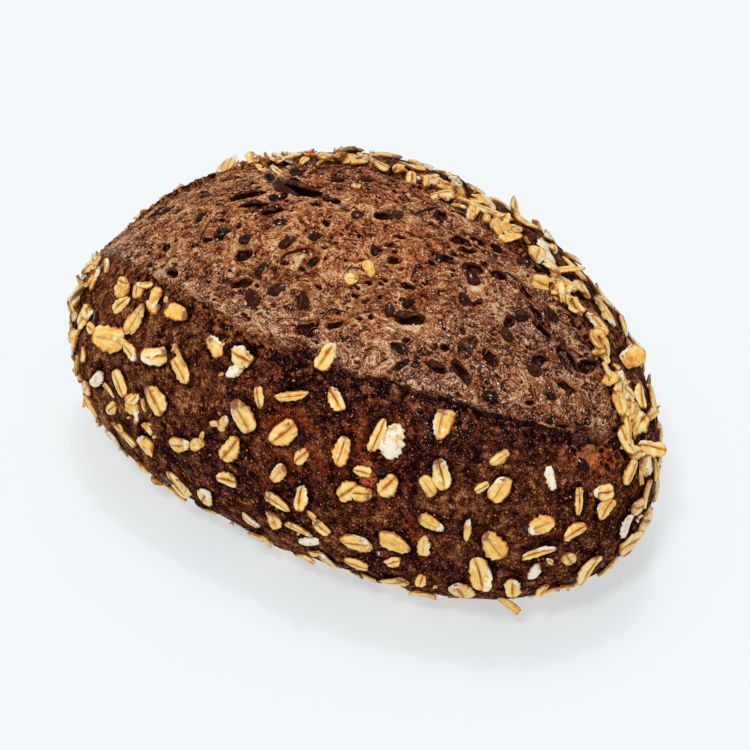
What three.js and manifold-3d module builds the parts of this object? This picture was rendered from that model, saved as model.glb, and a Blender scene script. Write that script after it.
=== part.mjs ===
// A dark wholegrain sourdough loaf: an oval loaf with a flat base, a wide slash that has opened
// along its top, rolled oats baked onto its skin and linseeds in the open crumb.
// Millimetres, +Z up. +X runs along the loaf, the slash leans towards -Y, and the base stands
// on z = 0 with the middle of the loaf's box over the origin.
import * as THREE from "three";
import { mergeVertices } from "three/addons/utils/BufferGeometryUtils.js";
import Module from "manifold-3d";

const wasm = await Module();
wasm.setup();

// ---- Driving dimensions ----
const LENGTH = 190;
const WIDTH = 134;
const HEIGHT = 94;
const GIRTH_HEIGHT = 36.5; // where the loaf is widest
const PLAN_POWER = 2.13; // superellipse of the plan: 2 is an ellipse
const DOME_POWER = 1.8; // the same for the section above the girth
const UNDERSIDE_POWER = 3; // and below it
const BASE_CUT = 1.08; // how far past z = 0 the underside would bulge, as a share of the girth height

// The loaf is hand shaped, so its plan leaves the superellipse a little.
const PLAN_COS3 = 0.025;
const PLAN_SIN3 = -0.047;
const PLAN_SIN2 = -0.019;
const MIDDLE_X = -2.6; // those terms push its box off the origin, and this brings it back
const MIDDLE_Y = -2.2;

// ---- The opened slash ----
const SLASH_HALF_LENGTH = 89;
const SLASH_HALF_WIDTH = 34.5;
const SLASH_POWER = 1.87;
const SLASH_X = -1;
const SLASH_Y = -10.5;
const LIP_HEIGHT = 0.9; // the torn skin curls up along the rim
const LIP_WIDTH = 4;
const SLASH_DROP = 1.5; // the open crumb lies this far under the skin
const STEP_WIDTH = 2.2; // how far inside the rim the drop ends
const CRUMB_RELIEF = 0.75;
const LUMP_RELIEF = 0.8;
const LUMP_FREE_HEIGHT = 14; // the lumps fade out below this height, so that the base stays flat

// ---- Mesh of the loaf ----
const AROUND = 64;
const SLASH_RINGS = 11;
const SKIN_RINGS = 7;
const UNDER_RINGS = 6;

// ---- Rolled oats ----
const OAT_SEED = 4685;
const OAT_COUNT = 236;
const OAT_GAP = 8.6; // least distance between two oats
const OAT_LENGTH = 8.9;
const OAT_LENGTH_SPREAD = 1.7;
const OAT_ROUNDNESS = 0.66; // width over length
const OAT_ROUNDNESS_SPREAD = 0.12;
const OAT_LIFT = 0.75; // the face of a flake stands this far above the skin
const OAT_ROOT = 2.4; // and what holds it tapers this far in from the face
const OAT_SIDES = 6;
const OAT_TILT = 0.16; // radians, either way
const STANDING_SHARE = 0.1; // of the oats, those that stand up from the skin
const STANDING_TILT = 0.62;
const STANDING_LIFT = 0.45; // how far out of the skin it comes, as a share of all it could
const OAT_RIM_GAP = 3.5; // clear of the slash
const CROWD = 3.2; // along the slash's back rim this many more lie for each one elsewhere
const CROWD_WIDTH = 13; // and the crowd thins out over this distance
const CROWD_X = 5; // it starts here and thickens towards +X
const CROWD_RUN = 40;
const BARE = 0.9; // along the front rim this share of them is missing
const BARE_DEPTH = 14; // they thin out over this distance
const BARE_X = 25; // the bare band starts here and is at its barest further towards +X
const BARE_RUN = 20;
const OAT_FLOOR_GAP = 0.8; // clear of the base's plane

// ---- Linseeds in the open crumb ----
const SEED_SEED = 4127;
const SEED_COUNT = 34;
const SEED_GAP = 8;
const SEED_RIM_GAP = 5;
const SEED_LENGTH = 6;
const SEED_LENGTH_SPREAD = 0.7;
const SEED_ROUNDNESS = 0.52; // width over length
const SEED_RISE = 0.9; // the ridge of a seed stands this far above the crumb
const SEED_ROOT = 1.2;

const RADIANS = Math.PI / 180;
const LOWEST_OAT_LATITUDE = -52 * RADIANS;
const HIGHEST_OAT_LATITUDE = 72 * RADIANS;

const sq = (value) => value * value;
const clamp01 = (value) => Math.min(1, Math.max(0, value));
const smooth = (value) => sq(clamp01(value)) * (3 - 2 * clamp01(value));

// Radius of a unit superellipse at an angle.
const superRadius = (angle, power) =>
  Math.pow(
    Math.pow(Math.abs(Math.cos(angle)), power) +
      Math.pow(Math.abs(Math.sin(angle)), power),
    -1 / power,
  );

// Radius of the loaf's plan at an angle, in units of its half length and half width.
function planRadius(angle) {
  const uneven =
    1 +
    PLAN_COS3 * Math.cos(3 * angle) +
    PLAN_SIN3 * Math.sin(3 * angle) +
    PLAN_SIN2 * Math.sin(2 * angle);
  return superRadius(angle, PLAN_POWER) * uneven;
}

// A point of the plain loaf. The latitude is 90 degrees on top, 0 at the girth, -90 under the base.
function loafPoint(angle, latitude) {
  const above = latitude >= 0;
  const power = 2 / (above ? DOME_POWER : UNDERSIDE_POWER);
  const spread =
    planRadius(angle) * Math.pow(Math.max(0, Math.cos(latitude)), power);
  const rise = Math.pow(Math.abs(Math.sin(latitude)), power);
  const z = above
    ? GIRTH_HEIGHT + (HEIGHT - GIRTH_HEIGHT) * rise
    : Math.max(0, GIRTH_HEIGHT * (1 - BASE_CUT * rise));
  return new THREE.Vector3(
    (LENGTH / 2) * spread * Math.cos(angle),
    (WIDTH / 2) * spread * Math.sin(angle),
    z,
  );
}

// Angle and latitude of the dome's point over (x, y).
function domeCoordinates(x, y) {
  const u = x / (LENGTH / 2);
  const v = y / (WIDTH / 2);
  const angle = Math.atan2(v, u);
  const share = clamp01(Math.hypot(u, v) / planRadius(angle));
  return { angle, latitude: Math.acos(Math.pow(share, DOME_POWER / 2)) };
}

// Outward normal of the plain loaf, from two small steps along its surface.
function loafNormal(angle, latitude) {
  const step = 0.02;
  const east = loafPoint(angle + step, latitude).sub(
    loafPoint(angle - step, latitude),
  );
  const north = loafPoint(angle, latitude + step).sub(
    loafPoint(angle, latitude - step),
  );
  return east.cross(north).normalize();
}

// Distance from the slash's rim in the plan, less than 0 inside the slash.
function rimDistance(x, y) {
  const u = (x - SLASH_X) / SLASH_HALF_LENGTH;
  const v = (y - SLASH_Y) / SLASH_HALF_WIDTH;
  const reach =
    Math.hypot(x - SLASH_X, y - SLASH_Y) / Math.max(1e-9, Math.hypot(u, v));
  return (
    (Math.hypot(u, v) - superRadius(Math.atan2(v, u), SLASH_POWER)) * reach
  );
}

// Broad lumps of hand-shaped dough, and the coarse tears of the open crumb, both from -1 to 1.
const lumps = ({ x, y, z }) =>
  0.6 * Math.sin(0.071 * x + 0.4) * Math.sin(0.083 * y + 1.1) +
  0.4 * Math.sin(0.13 * x - 0.09 * y + 2) * Math.sin(0.11 * z + 0.7);
const tears = ({ x, y }) =>
  0.6 * Math.sin(0.16 * x + 0.31 * y + 1.3 * Math.sin(0.07 * x)) +
  0.4 * Math.sin(0.37 * x - 0.23 * y + 0.8);

// How far the loaf's surface stands out from the plain loaf at a point of it.
function relief(point, onTop) {
  const lumpy = LUMP_RELIEF * lumps(point) * smooth(point.z / LUMP_FREE_HEIGHT);
  if (!onTop) return lumpy;
  const rim = rimDistance(point.x, point.y);
  if (rim >= -1e-6) return lumpy + LIP_HEIGHT * Math.exp(-sq(rim / LIP_WIDTH));
  const inside = smooth(-rim / STEP_WIDTH);
  const crumb = CRUMB_RELIEF * tears(point) - SLASH_DROP;
  return lumpy + LIP_HEIGHT * (1 - inside) + crumb * inside;
}

function surfacePoint(angle, latitude) {
  const point = loafPoint(angle, latitude);
  const height = relief(point, latitude > 0);
  return point.addScaledVector(loafNormal(angle, latitude), height);
}

// ---- The loaf: rings that grow from the middle of the slash to its rim, then go down the sides ----
function loafRing(ring) {
  const points = [];
  for (let i = 0; i < AROUND; i++) {
    const turn = (2 * Math.PI * i) / AROUND;
    const reach = superRadius(turn, SLASH_POWER);
    const rim = new THREE.Vector2(
      SLASH_HALF_LENGTH * Math.cos(turn) * reach,
      SLASH_HALF_WIDTH * Math.sin(turn) * reach,
    );
    const stepShare = 1 - STEP_WIDTH / rim.length();
    if (ring < SLASH_RINGS) {
      const share = (stepShare * (ring + 1.6)) / (SLASH_RINGS + 0.6);
      const spot = domeCoordinates(SLASH_X + rim.x * share, SLASH_Y + rim.y * share);
      points.push(surfacePoint(spot.angle, spot.latitude));
      continue;
    }
    const edge = domeCoordinates(SLASH_X + rim.x, SLASH_Y + rim.y);
    const down = ring - SLASH_RINGS;
    const latitude =
      down < SKIN_RINGS
        ? edge.latitude * (1 - down / SKIN_RINGS)
        : -flatLatitude * ((down - SKIN_RINGS) / UNDER_RINGS);
    points.push(surfacePoint(edge.angle, latitude));
  }
  return points;
}

// Latitude where the underside reaches the base's plane.
const flatLatitude = Math.asin(Math.pow(1 / BASE_CUT, UNDERSIDE_POWER / 2));

function loafGeometry() {
  const rings = SLASH_RINGS + SKIN_RINGS + UNDER_RINGS + 1;
  const points = [];
  for (let ring = 0; ring < rings; ring++) points.push(...loafRing(ring));
  const middle = domeCoordinates(SLASH_X, SLASH_Y);
  const top = points.push(surfacePoint(middle.angle, middle.latitude)) - 1;
  const bottom = points.push(new THREE.Vector3(0, 0, 0)) - 1;
  const faces = [];
  for (let i = 0; i < AROUND; i++) {
    const next = (i + 1) % AROUND;
    const last = (rings - 1) * AROUND;
    faces.push(top, i, next, bottom, last + next, last + i);
    for (let row = 0; row < last; row += AROUND) {
      faces.push(row + i, row + AROUND + i, row + next);
      faces.push(row + next, row + AROUND + i, row + AROUND + next);
    }
  }
  return new THREE.BufferGeometry().setFromPoints(points).setIndex(faces);
}

// ---- Rolled oats ----
// A small generator of evenly spread numbers from 0 to 1, the same on every run.
function randomFrom(seed) {
  let state = seed;
  return () => {
    state = (state * 16807) % 2147483647;
    return state / 2147483647;
  };
}

// Area of the loaf for one unit of angle and latitude there, in square millimetres.
function areaAt(angle, latitude) {
  const step = 0.01;
  const east = loafPoint(angle + step, latitude).sub(
    loafPoint(angle - step, latitude),
  );
  const north = loafPoint(angle, latitude + step).sub(
    loafPoint(angle, latitude - step),
  );
  return east.cross(north).length() / sq(2 * step);
}

// How many oats lie at a place of the skin for each one elsewhere.
function crowding({ x, y }, latitude) {
  if (latitude <= 0) return 1;
  const rim = rimDistance(x, y);
  if (y < SLASH_Y) {
    const under = 1 - smooth(rim / BARE_DEPTH - 0.5);
    return 1 - BARE * smooth((x - BARE_X) / BARE_RUN) * under;
  }
  const along = smooth((x - CROWD_X) / CROWD_RUN);
  return 1 + CROWD * along * Math.exp(-sq(rim / CROWD_WIDTH));
}

// Oats lie all over the skin: each draw is kept if it is on the skin and clear of the others.
function oatSpots() {
  const random = randomFrom(OAT_SEED);
  const either = () => 2 * random() - 1;
  const most = LENGTH * WIDTH;
  const spots = [];
  while (spots.length < OAT_COUNT) {
    const angle = 2 * Math.PI * random();
    const latitude =
      LOWEST_OAT_LATITUDE +
      (HIGHEST_OAT_LATITUDE - LOWEST_OAT_LATITUDE) * random();
    const place = loafPoint(angle, latitude);
    const crowd = crowding(place, latitude);
    const gap = OAT_GAP / Math.sqrt(Math.max(1, crowd));
    if (random() * most > areaAt(angle, latitude) * crowd) continue;
    if (latitude > 0 && rimDistance(place.x, place.y) < OAT_RIM_GAP) continue;
    if (spots.some((spot) => spot.place.distanceTo(place) < gap)) continue;
    spots.push({
      place,
      angle,
      latitude,
      heading: Math.PI * random(),
      length: OAT_LENGTH + OAT_LENGTH_SPREAD * either(),
      roundness: OAT_ROUNDNESS + OAT_ROUNDNESS_SPREAD * either(),
      lean: OAT_TILT * either(),
      tilt: random() < STANDING_SHARE ? STANDING_TILT : OAT_TILT * either(),
    });
  }
  return spots;
}

// A flake: an oval face, and a root that tapers from its edge to a point in the dough.
function oatGeometry({ length, roundness }) {
  const points = [];
  const faces = [];
  for (let i = 0; i < OAT_SIDES; i++) {
    const turn = (2 * Math.PI * i) / OAT_SIDES;
    points.push(
      new THREE.Vector3(
        (length / 2) * Math.cos(turn),
        (length / 2) * roundness * Math.sin(turn),
        0,
      ),
    );
    faces.push(OAT_SIDES, (i + 1) % OAT_SIDES, i);
    if (i > 1) faces.push(0, i - 1, i);
  }
  points.push(new THREE.Vector3(0, 0, -OAT_ROOT));
  return new THREE.BufferGeometry().setFromPoints(points).setIndex(faces);
}

// A frame on the loaf: x along the heading, z outwards, and the origin lifted off the surface.
function surfaceMatrix({ angle, latitude, heading }, lift) {
  const outward = loafNormal(angle, latitude);
  const level = new THREE.Vector3(-Math.sin(angle), Math.cos(angle), 0);
  level.addScaledVector(outward, -level.dot(outward)).normalize();
  const along = level.applyAxisAngle(outward, heading);
  const across = new THREE.Vector3().crossVectors(outward, along);
  const origin = surfacePoint(angle, latitude).addScaledVector(outward, lift);
  return new THREE.Matrix4().makeBasis(along, across, outward).setPosition(origin);
}

function oatMatrix(spot) {
  const standing = spot.tilt === STANDING_TILT ? STANDING_LIFT : 0;
  const lift = OAT_LIFT + standing * (spot.length / 2) * Math.sin(STANDING_TILT);
  return surfaceMatrix(spot, lift)
    .multiply(new THREE.Matrix4().makeRotationY(spot.tilt))
    .multiply(new THREE.Matrix4().makeRotationX(spot.lean));
}

// ---- Linseeds ----
// Seeds lie in the open crumb, spread in the slash's plan as the oats are on the skin.
function seedSpots() {
  const random = randomFrom(SEED_SEED);
  const either = () => 2 * random() - 1;
  const spots = [];
  while (spots.length < SEED_COUNT) {
    const x = SLASH_X + SLASH_HALF_LENGTH * either();
    const y = SLASH_Y + SLASH_HALF_WIDTH * either();
    const place = new THREE.Vector2(x, y);
    if (rimDistance(x, y) > -SEED_RIM_GAP) continue;
    if (spots.some((spot) => spot.place.distanceTo(place) < SEED_GAP)) continue;
    spots.push({
      place,
      ...domeCoordinates(x, y),
      heading: Math.PI * random(),
      length: SEED_LENGTH + SEED_LENGTH_SPREAD * either(),
    });
  }
  return spots;
}

// A seed: an oval with a ridge above and a root below.
function seedGeometry({ length }) {
  const end = length / 2;
  const side = end * SEED_ROUNDNESS;
  const points = [
    new THREE.Vector3(end, 0, 0),
    new THREE.Vector3(0, side, 0),
    new THREE.Vector3(-end, 0, 0),
    new THREE.Vector3(0, -side, 0),
    new THREE.Vector3(0, 0, SEED_RISE),
    new THREE.Vector3(0, 0, -SEED_ROOT),
  ];
  const faces = [];
  for (let i = 0; i < 4; i++) {
    const next = (i + 1) % 4;
    faces.push(i, next, 4, next, i, 5);
  }
  return new THREE.BufferGeometry().setFromPoints(points).setIndex(faces);
}

const seedMatrix = (spot) => surfaceMatrix(spot, 0);

// ---- One solid ----
function toSolid(geometry) {
  const merged = mergeVertices(geometry, 1e-4);
  return new wasm.Manifold(
    new wasm.Mesh({
      numProp: 3,
      vertProperties: new Float32Array(merged.attributes.position.array),
      triVerts: new Uint32Array(merged.index.array),
    }),
  );
}

function toGeometry(solid) {
  const mesh = solid.getMesh();
  return new THREE.BufferGeometry()
    .setAttribute("position", new THREE.BufferAttribute(mesh.vertProperties, 3))
    .setIndex(new THREE.BufferAttribute(mesh.triVerts, 1));
}

const seedSolids = () =>
  seedSpots().map((spot) => toSolid(seedGeometry(spot).applyMatrix4(seedMatrix(spot))));

function oatSolids() {
  return oatSpots()
    .map((spot) => oatGeometry(spot).applyMatrix4(oatMatrix(spot)))
    .filter((geometry) => {
      geometry.computeBoundingBox();
      return geometry.boundingBox.min.z > OAT_FLOOR_GAP;
    })
    .map(toSolid);
}

const crust = new THREE.MeshStandardMaterial({
  color: new THREE.Color(0.2, 0.105, 0.06),
  roughness: 0.7,
  metalness: 0,
});

// The solid without any flake that came to lie clear of it.
function largestPiece(solid) {
  const pieces = solid.decompose();
  return pieces.reduce((most, piece) => (piece.volume() > most.volume() ? piece : most));
}

const bread = toSolid(loafGeometry());
const dressed = wasm.Manifold.union([bread, ...oatSolids(), ...seedSolids()]);
const loafMesh = new THREE.Mesh(toGeometry(largestPiece(dressed)), crust);
loafMesh.name = "loaf";
loafMesh.geometry.translate(MIDDLE_X, MIDDLE_Y, 0);

const loaf = new THREE.Group();
loaf.add(loafMesh);

export default loaf;
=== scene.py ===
"""A dark wholegrain sourdough loaf: skin, the opened crumb of its slash, oats and linseeds.

The shapes are worked out in millimetres on the same form as the solid's, and are put into meshes
in metres. Each piece has an operator, and main() calls them in order.
"""

import itertools
import math

import bpy
import numpy as np
from bpy.props import FloatProperty, FloatVectorProperty, IntProperty, PointerProperty
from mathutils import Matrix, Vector


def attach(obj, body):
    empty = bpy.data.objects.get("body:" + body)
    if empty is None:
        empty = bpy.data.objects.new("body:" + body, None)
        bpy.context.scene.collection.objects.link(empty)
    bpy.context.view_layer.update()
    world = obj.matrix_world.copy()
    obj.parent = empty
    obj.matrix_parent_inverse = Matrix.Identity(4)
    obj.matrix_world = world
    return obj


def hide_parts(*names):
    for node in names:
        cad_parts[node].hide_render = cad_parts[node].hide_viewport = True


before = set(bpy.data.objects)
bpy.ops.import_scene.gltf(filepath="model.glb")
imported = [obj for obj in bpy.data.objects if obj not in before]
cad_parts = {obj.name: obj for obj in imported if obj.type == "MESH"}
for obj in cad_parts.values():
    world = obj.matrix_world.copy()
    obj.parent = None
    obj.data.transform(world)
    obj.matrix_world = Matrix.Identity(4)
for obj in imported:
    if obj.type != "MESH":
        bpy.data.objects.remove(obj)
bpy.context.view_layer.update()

bl_info = {
    "name": "Sourdough loaf",
    "version": (1, 0, 0),
    "blender": (4, 5, 0),
    "location": "3D View > Sidebar > Loaf",
    "description": "A dark wholegrain sourdough loaf with oats and linseeds",
    "category": "Add Mesh",
}

BODY = "root"
SOLID = "loaf"
MM = 0.001

# ---- The loaf's form, in millimetres ----
LENGTH = 190
WIDTH = 134
HEIGHT = 94
GIRTH_HEIGHT = 36.5
PLAN_POWER = 2.13
DOME_POWER = 1.8
UNDERSIDE_POWER = 3
BASE_CUT = 1.08
PLAN_COS3 = 0.025
PLAN_SIN3 = -0.047
PLAN_SIN2 = -0.019
MIDDLE = np.array([-2.6, -2.2, 0])

SLASH_HALF_LENGTH = 89
SLASH_HALF_WIDTH = 34.5
SLASH_POWER = 1.87
SLASH_X = -1
SLASH_Y = -10.5
LIP_HEIGHT = 0.9
LIP_WIDTH = 4
SLASH_DROP = 1.5
STEP_WIDTH = 2.2
CRUMB_RELIEF = 0.75
LUMP_RELIEF = 0.8
LUMP_FREE_HEIGHT = 14

# ---- Oats and seeds, as the solid has them ----
OAT_SEED = 4685
OAT_COUNT = 236
OAT_GAP = 8.6
OAT_LENGTH = 8.9
OAT_LENGTH_SPREAD = 1.7
OAT_ROUNDNESS = 0.66
OAT_ROUNDNESS_SPREAD = 0.12
OAT_LIFT = 0.75
OAT_TILT = 0.16
STANDING_SHARE = 0.1
STANDING_TILT = 0.62
STANDING_LIFT = 0.45
OAT_RIM_GAP = 3.5
OAT_FULLNESS = 1.02
CROWD = 3.2
CROWD_WIDTH = 13
CROWD_X = 5
CROWD_RUN = 40
BARE = 0.9
BARE_DEPTH = 14
BARE_X = 25
BARE_RUN = 20
LOWEST_OAT_LATITUDE = math.radians(-52)
HIGHEST_OAT_LATITUDE = math.radians(72)

SEED_SEED = 4127
SEED_COUNT = 34
SEED_GAP = 8
SEED_RIM_GAP = 5
SEED_LENGTH = 6
SEED_LENGTH_SPREAD = 0.7

# ---- Camera, from the photo's perspective ----
IMAGE = 750
AZIMUTH = math.radians(34.87)
ELEVATION = math.radians(39.49)
DISTANCE = 907
AIM = np.array([0, 0, 40]) + MIDDLE
AIM_RIGHT = 1.26
AIM_DOWN = 5.66
FOCAL_PIXELS = 3031
SENSOR = 36


# ---------------------------------------------------------------- small maths
def clamp01(value):
    return np.clip(value, 0, 1)


def smooth(value):
    """3t^2 - 2t^3 of the value held between 0 and 1."""
    held = clamp01(value)
    return held * held * (3 - 2 * held)


def rising(value, zero_at, one_at):
    """0 where the value is at the first or before it, 1 from the second on, and smooth between."""
    return smooth((value - zero_at) / (one_at - zero_at))


def bell(value, width):
    """exp(-(value / width)^2)."""
    return np.exp(-((value / width) ** 2))


def unit(vectors):
    return vectors / np.linalg.norm(vectors, axis=-1, keepdims=True)


def turned(first, second, angle):
    """Two components, or two vectors, as seen along and across a heading between them."""
    cosine, sine = np.cos(angle), np.sin(angle)
    return first * cosine + second * sine, second * cosine - first * sine


# Odd multipliers that mix the bits of a cell's three numbers and of its seed.
CELL_MIX = (374761393, 668265263, 2246822519)
SEED_MIX = 3266489917
BIT_MIX = (2246822507, 3266489909)
KEPT_BITS = 0xFFFFFF


def lattice_random(cells, seed):
    """Evenly spread numbers from 0 to 1, one for each whole-number cell, by mixing its bits."""
    mixed = np.uint32((seed * 97 + 13) * SEED_MIX % 2**32)
    for axis, step in enumerate(CELL_MIX):
        mixed = mixed + cells[..., axis].astype(np.uint32) * np.uint32(step)
    for shift, step in zip((15, 13), BIT_MIX):
        mixed = (mixed ^ (mixed >> shift)) * np.uint32(step)
    return ((mixed ^ (mixed >> 16)) & np.uint32(KEPT_BITS)) / (KEPT_BITS + 1)


# Turns the lattice, so that it doesn't lie along the loaf's axes.
TURNED = np.array([[0.36, 0.48, -0.8], [-0.8, 0.6, 0.0], [0.48, 0.64, 0.6]])


def noise(points, size, seed):
    """Smooth noise from -1 to 1 with features about size across: random values at the corners of a
    turned cubic lattice, blended between them by 3t^2 - 2t^3."""
    scaled = (points / size) @ TURNED
    low = np.floor(scaled).astype(np.int64)
    share = scaled - low
    share = share * share * (3 - 2 * share)
    total = np.zeros(points.shape[:-1])
    for corner in itertools.product((0, 1), repeat=3):
        weight = np.prod(np.where(np.array(corner) == 1, share, 1 - share), axis=-1)
        total += weight * lattice_random(low + np.array(corner), seed)
    return 2 * total - 1


def layered(points, size, seed, layers=3, fade=0.5):
    """Sum of noises, each half as large as the last and fade times as strong: about -1 to 1."""
    total = sum(
        fade**layer * noise(points, size / 2**layer, seed + 31 * layer)
        for layer in range(layers)
    )
    return total / sum(fade**layer for layer in range(layers))


def ridged(points, size, seed, layers=2):
    """Layered noise folded at 0, so that it has narrow ridges: 1 on them, and down to about -1."""
    return 1 - 4 * np.abs(layered(points, size, seed, layers))


def flowing(points, seed, pull=0.33):
    """The points moved about by broad noise and drawn together along X, so that noise that is read
    there runs in wandering strands."""
    shift = np.stack([noise(points, 17, seed + axis) for axis in range(3)], -1)
    return (points + 6 * shift) * np.array([pull, 1, 1])


def swirled(points, seed, sway, least, even_from):
    """Coordinates to read noises in, so that their features wander by up to sway and are drawn out
    along X: by 1 / least, but hardly beyond a place along X."""
    shift = [
        noise(points, 15, seed + axis) + 0.45 * noise(points, 6, seed + 3 + axis)
        for axis in range(3)
    ]
    moved = points + sway * np.stack(shift, -1)
    x = moved[..., 0]
    drawn = least * x + (1 - least) / 2 * (np.hypot(x - even_from, 12) + x)
    return np.stack([drawn, moved[..., 1], moved[..., 2]], -1)


def scattered(points, size, seed):
    """Distance to the nearest and to the next of points scattered one to each cell of a lattice,
    in units of size, and a number from 0 to 1 of the nearest."""
    scaled = (points / size) @ TURNED
    low = np.floor(scaled).astype(np.int64)
    nearest = np.full(points.shape[:-1], 9.0)
    second = nearest.copy()
    number = np.zeros(points.shape[:-1])
    for step in itertools.product((-1, 0, 1), repeat=3):
        cell = low + np.array(step)
        spot = np.stack([lattice_random(cell, seed + axis) for axis in range(3)], -1)
        away = np.linalg.norm(cell + spot - scaled, axis=-1)
        closer = away < nearest
        second = np.where(closer, nearest, np.minimum(second, away))
        number = np.where(closer, lattice_random(cell, seed + 3), number)
        nearest = np.where(closer, away, nearest)
    return nearest, second, number


# ---------------------------------------------------------------- the loaf's form
def super_radius(angle, power):
    """(|cos a|^p + |sin a|^p)^(-1/p), the radius of a unit superellipse."""
    return (np.abs(np.cos(angle)) ** power + np.abs(np.sin(angle)) ** power) ** (-1 / power)


def plan_radius(angle):
    """The plan's radius: a superellipse times 1 plus three small waves round it."""
    uneven = (
        1
        + PLAN_COS3 * np.cos(3 * angle)
        + PLAN_SIN3 * np.sin(3 * angle)
        + PLAN_SIN2 * np.sin(2 * angle)
    )
    return super_radius(angle, PLAN_POWER) * uneven


def loaf_point(angle, latitude):
    """A point of the plain loaf: the plan scaled by a power of cos(latitude), and the height by the
    same power of its sine, with one power above the girth and another below it."""
    above = latitude >= 0
    power = np.where(above, 2 / DOME_POWER, 2 / UNDERSIDE_POWER)
    spread = plan_radius(angle) * np.maximum(0, np.cos(latitude)) ** power
    rise = np.abs(np.sin(latitude)) ** power
    up = GIRTH_HEIGHT + (HEIGHT - GIRTH_HEIGHT) * rise
    down = np.maximum(0, GIRTH_HEIGHT * (1 - BASE_CUT * rise))
    return np.stack(
        [
            LENGTH / 2 * spread * np.cos(angle),
            WIDTH / 2 * spread * np.sin(angle),
            np.where(above, up, down),
        ],
        -1,
    )


def dome_coordinates(x, y):
    """Angle and latitude of the dome's point over (x, y)."""
    u = x / (LENGTH / 2)
    v = y / (WIDTH / 2)
    angle = np.arctan2(v, u)
    share = clamp01(np.hypot(u, v) / plan_radius(angle))
    return angle, np.arccos(share ** (DOME_POWER / 2))


def loaf_tangents(angle, latitude, step):
    east = loaf_point(angle + step, latitude) - loaf_point(angle - step, latitude)
    north = loaf_point(angle, latitude + step) - loaf_point(angle, latitude - step)
    return east, north


def loaf_normal(angle, latitude):
    """Outward normal of the plain loaf, from two small steps along it."""
    east, north = loaf_tangents(angle, latitude, 0.02)
    return unit(np.cross(east, north))


def area_at(angle, latitude):
    """Area of the loaf for one unit of angle and of latitude there."""
    step = 0.01
    east, north = loaf_tangents(angle, latitude, step)
    return np.linalg.norm(np.cross(east, north), axis=-1) / (2 * step) ** 2


def rim_distance(x, y):
    """Distance from the slash's rim in the plan, less than 0 inside it."""
    u = (x - SLASH_X) / SLASH_HALF_LENGTH
    v = (y - SLASH_Y) / SLASH_HALF_WIDTH
    out = np.hypot(u, v)
    reach = np.hypot(x - SLASH_X, y - SLASH_Y) / np.maximum(1e-9, out)
    return (out - super_radius(np.arctan2(v, u), SLASH_POWER)) * reach


def lumps(points):
    """Low lumps of the whole loaf, from -1 to 1."""
    x, y, z = points[..., 0], points[..., 1], points[..., 2]
    return 0.6 * np.sin(0.071 * x + 0.4) * np.sin(0.083 * y + 1.1) + 0.4 * np.sin(
        0.13 * x - 0.09 * y + 2
    ) * np.sin(0.11 * z + 0.7)


def tears(points):
    """Coarse tears of the crumb, from -1 to 1."""
    x, y = points[..., 0], points[..., 1]
    return 0.6 * np.sin(0.16 * x + 0.31 * y + 1.3 * np.sin(0.07 * x)) + 0.4 * np.sin(
        0.37 * x - 0.23 * y + 0.8
    )


def solid_relief(points, on_top):
    """How far the solid stands out from the plain loaf: lumps everywhere, a lip round the slash,
    and inside it a drop with coarse tears."""
    lumpy = LUMP_RELIEF * lumps(points) * smooth(points[..., 2] / LUMP_FREE_HEIGHT)
    rim = rim_distance(points[..., 0], points[..., 1])
    inside = smooth(-rim / STEP_WIDTH)
    crumb = CRUMB_RELIEF * tears(points) - SLASH_DROP
    slash = np.where(
        rim >= -1e-6,
        LIP_HEIGHT * bell(rim, LIP_WIDTH),
        LIP_HEIGHT * (1 - inside) + crumb * inside,
    )
    return lumpy + np.where(on_top, slash, 0)


def solid_point(angle, latitude):
    points = loaf_point(angle, latitude)
    height = solid_relief(points, latitude > 0)
    return points + loaf_normal(angle, latitude) * height[..., None]


# ---------------------------------------------------------------- where oats and seeds lie
def random_from(seed):
    """The draws that the solid is made with: state times 16807, modulo 2^31 - 1."""
    state = seed
    while True:
        state = state * 16807 % 2147483647
        yield state / 2147483647


def either(draws):
    """A draw from -1 to 1."""
    return 2 * next(draws) - 1


def crowding(place, latitude):
    """How many oats lie at a place of the skin for each one elsewhere."""
    if latitude <= 0:
        return 1
    rim = rim_distance(place[0], place[1])
    if place[1] < SLASH_Y:
        under = 1 - smooth(rim / BARE_DEPTH - 0.5)
        return 1 - BARE * smooth((place[0] - BARE_X) / BARE_RUN) * under
    along = smooth((place[0] - CROWD_X) / CROWD_RUN)
    return 1 + CROWD * along * bell(rim, CROWD_WIDTH)


def oat_spots():
    """The solid's oats, drawn in the same order: angle, latitude, heading, length, roundness, lean
    and tilt."""
    draws = random_from(OAT_SEED)
    most = LENGTH * WIDTH
    places = []
    spots = []
    while len(spots) < OAT_COUNT:
        angle = 2 * math.pi * next(draws)
        latitude = LOWEST_OAT_LATITUDE + (HIGHEST_OAT_LATITUDE - LOWEST_OAT_LATITUDE) * next(draws)
        place = loaf_point(angle, latitude)
        crowd = crowding(place, latitude)
        if next(draws) * most > area_at(angle, latitude) * crowd:
            continue
        if latitude > 0 and rim_distance(place[0], place[1]) < OAT_RIM_GAP:
            continue
        gap = OAT_GAP / math.sqrt(max(1, crowd))
        if places and np.min(np.linalg.norm(np.array(places) - place, axis=-1)) < gap:
            continue
        places.append(place)
        heading = math.pi * next(draws)
        length = OAT_LENGTH + OAT_LENGTH_SPREAD * either(draws)
        roundness = OAT_ROUNDNESS + OAT_ROUNDNESS_SPREAD * either(draws)
        lean = OAT_TILT * either(draws)
        tilt = STANDING_TILT if next(draws) < STANDING_SHARE else OAT_TILT * either(draws)
        spots.append((angle, latitude, heading, length, roundness, lean, tilt))
    return np.array(spots)


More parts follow.
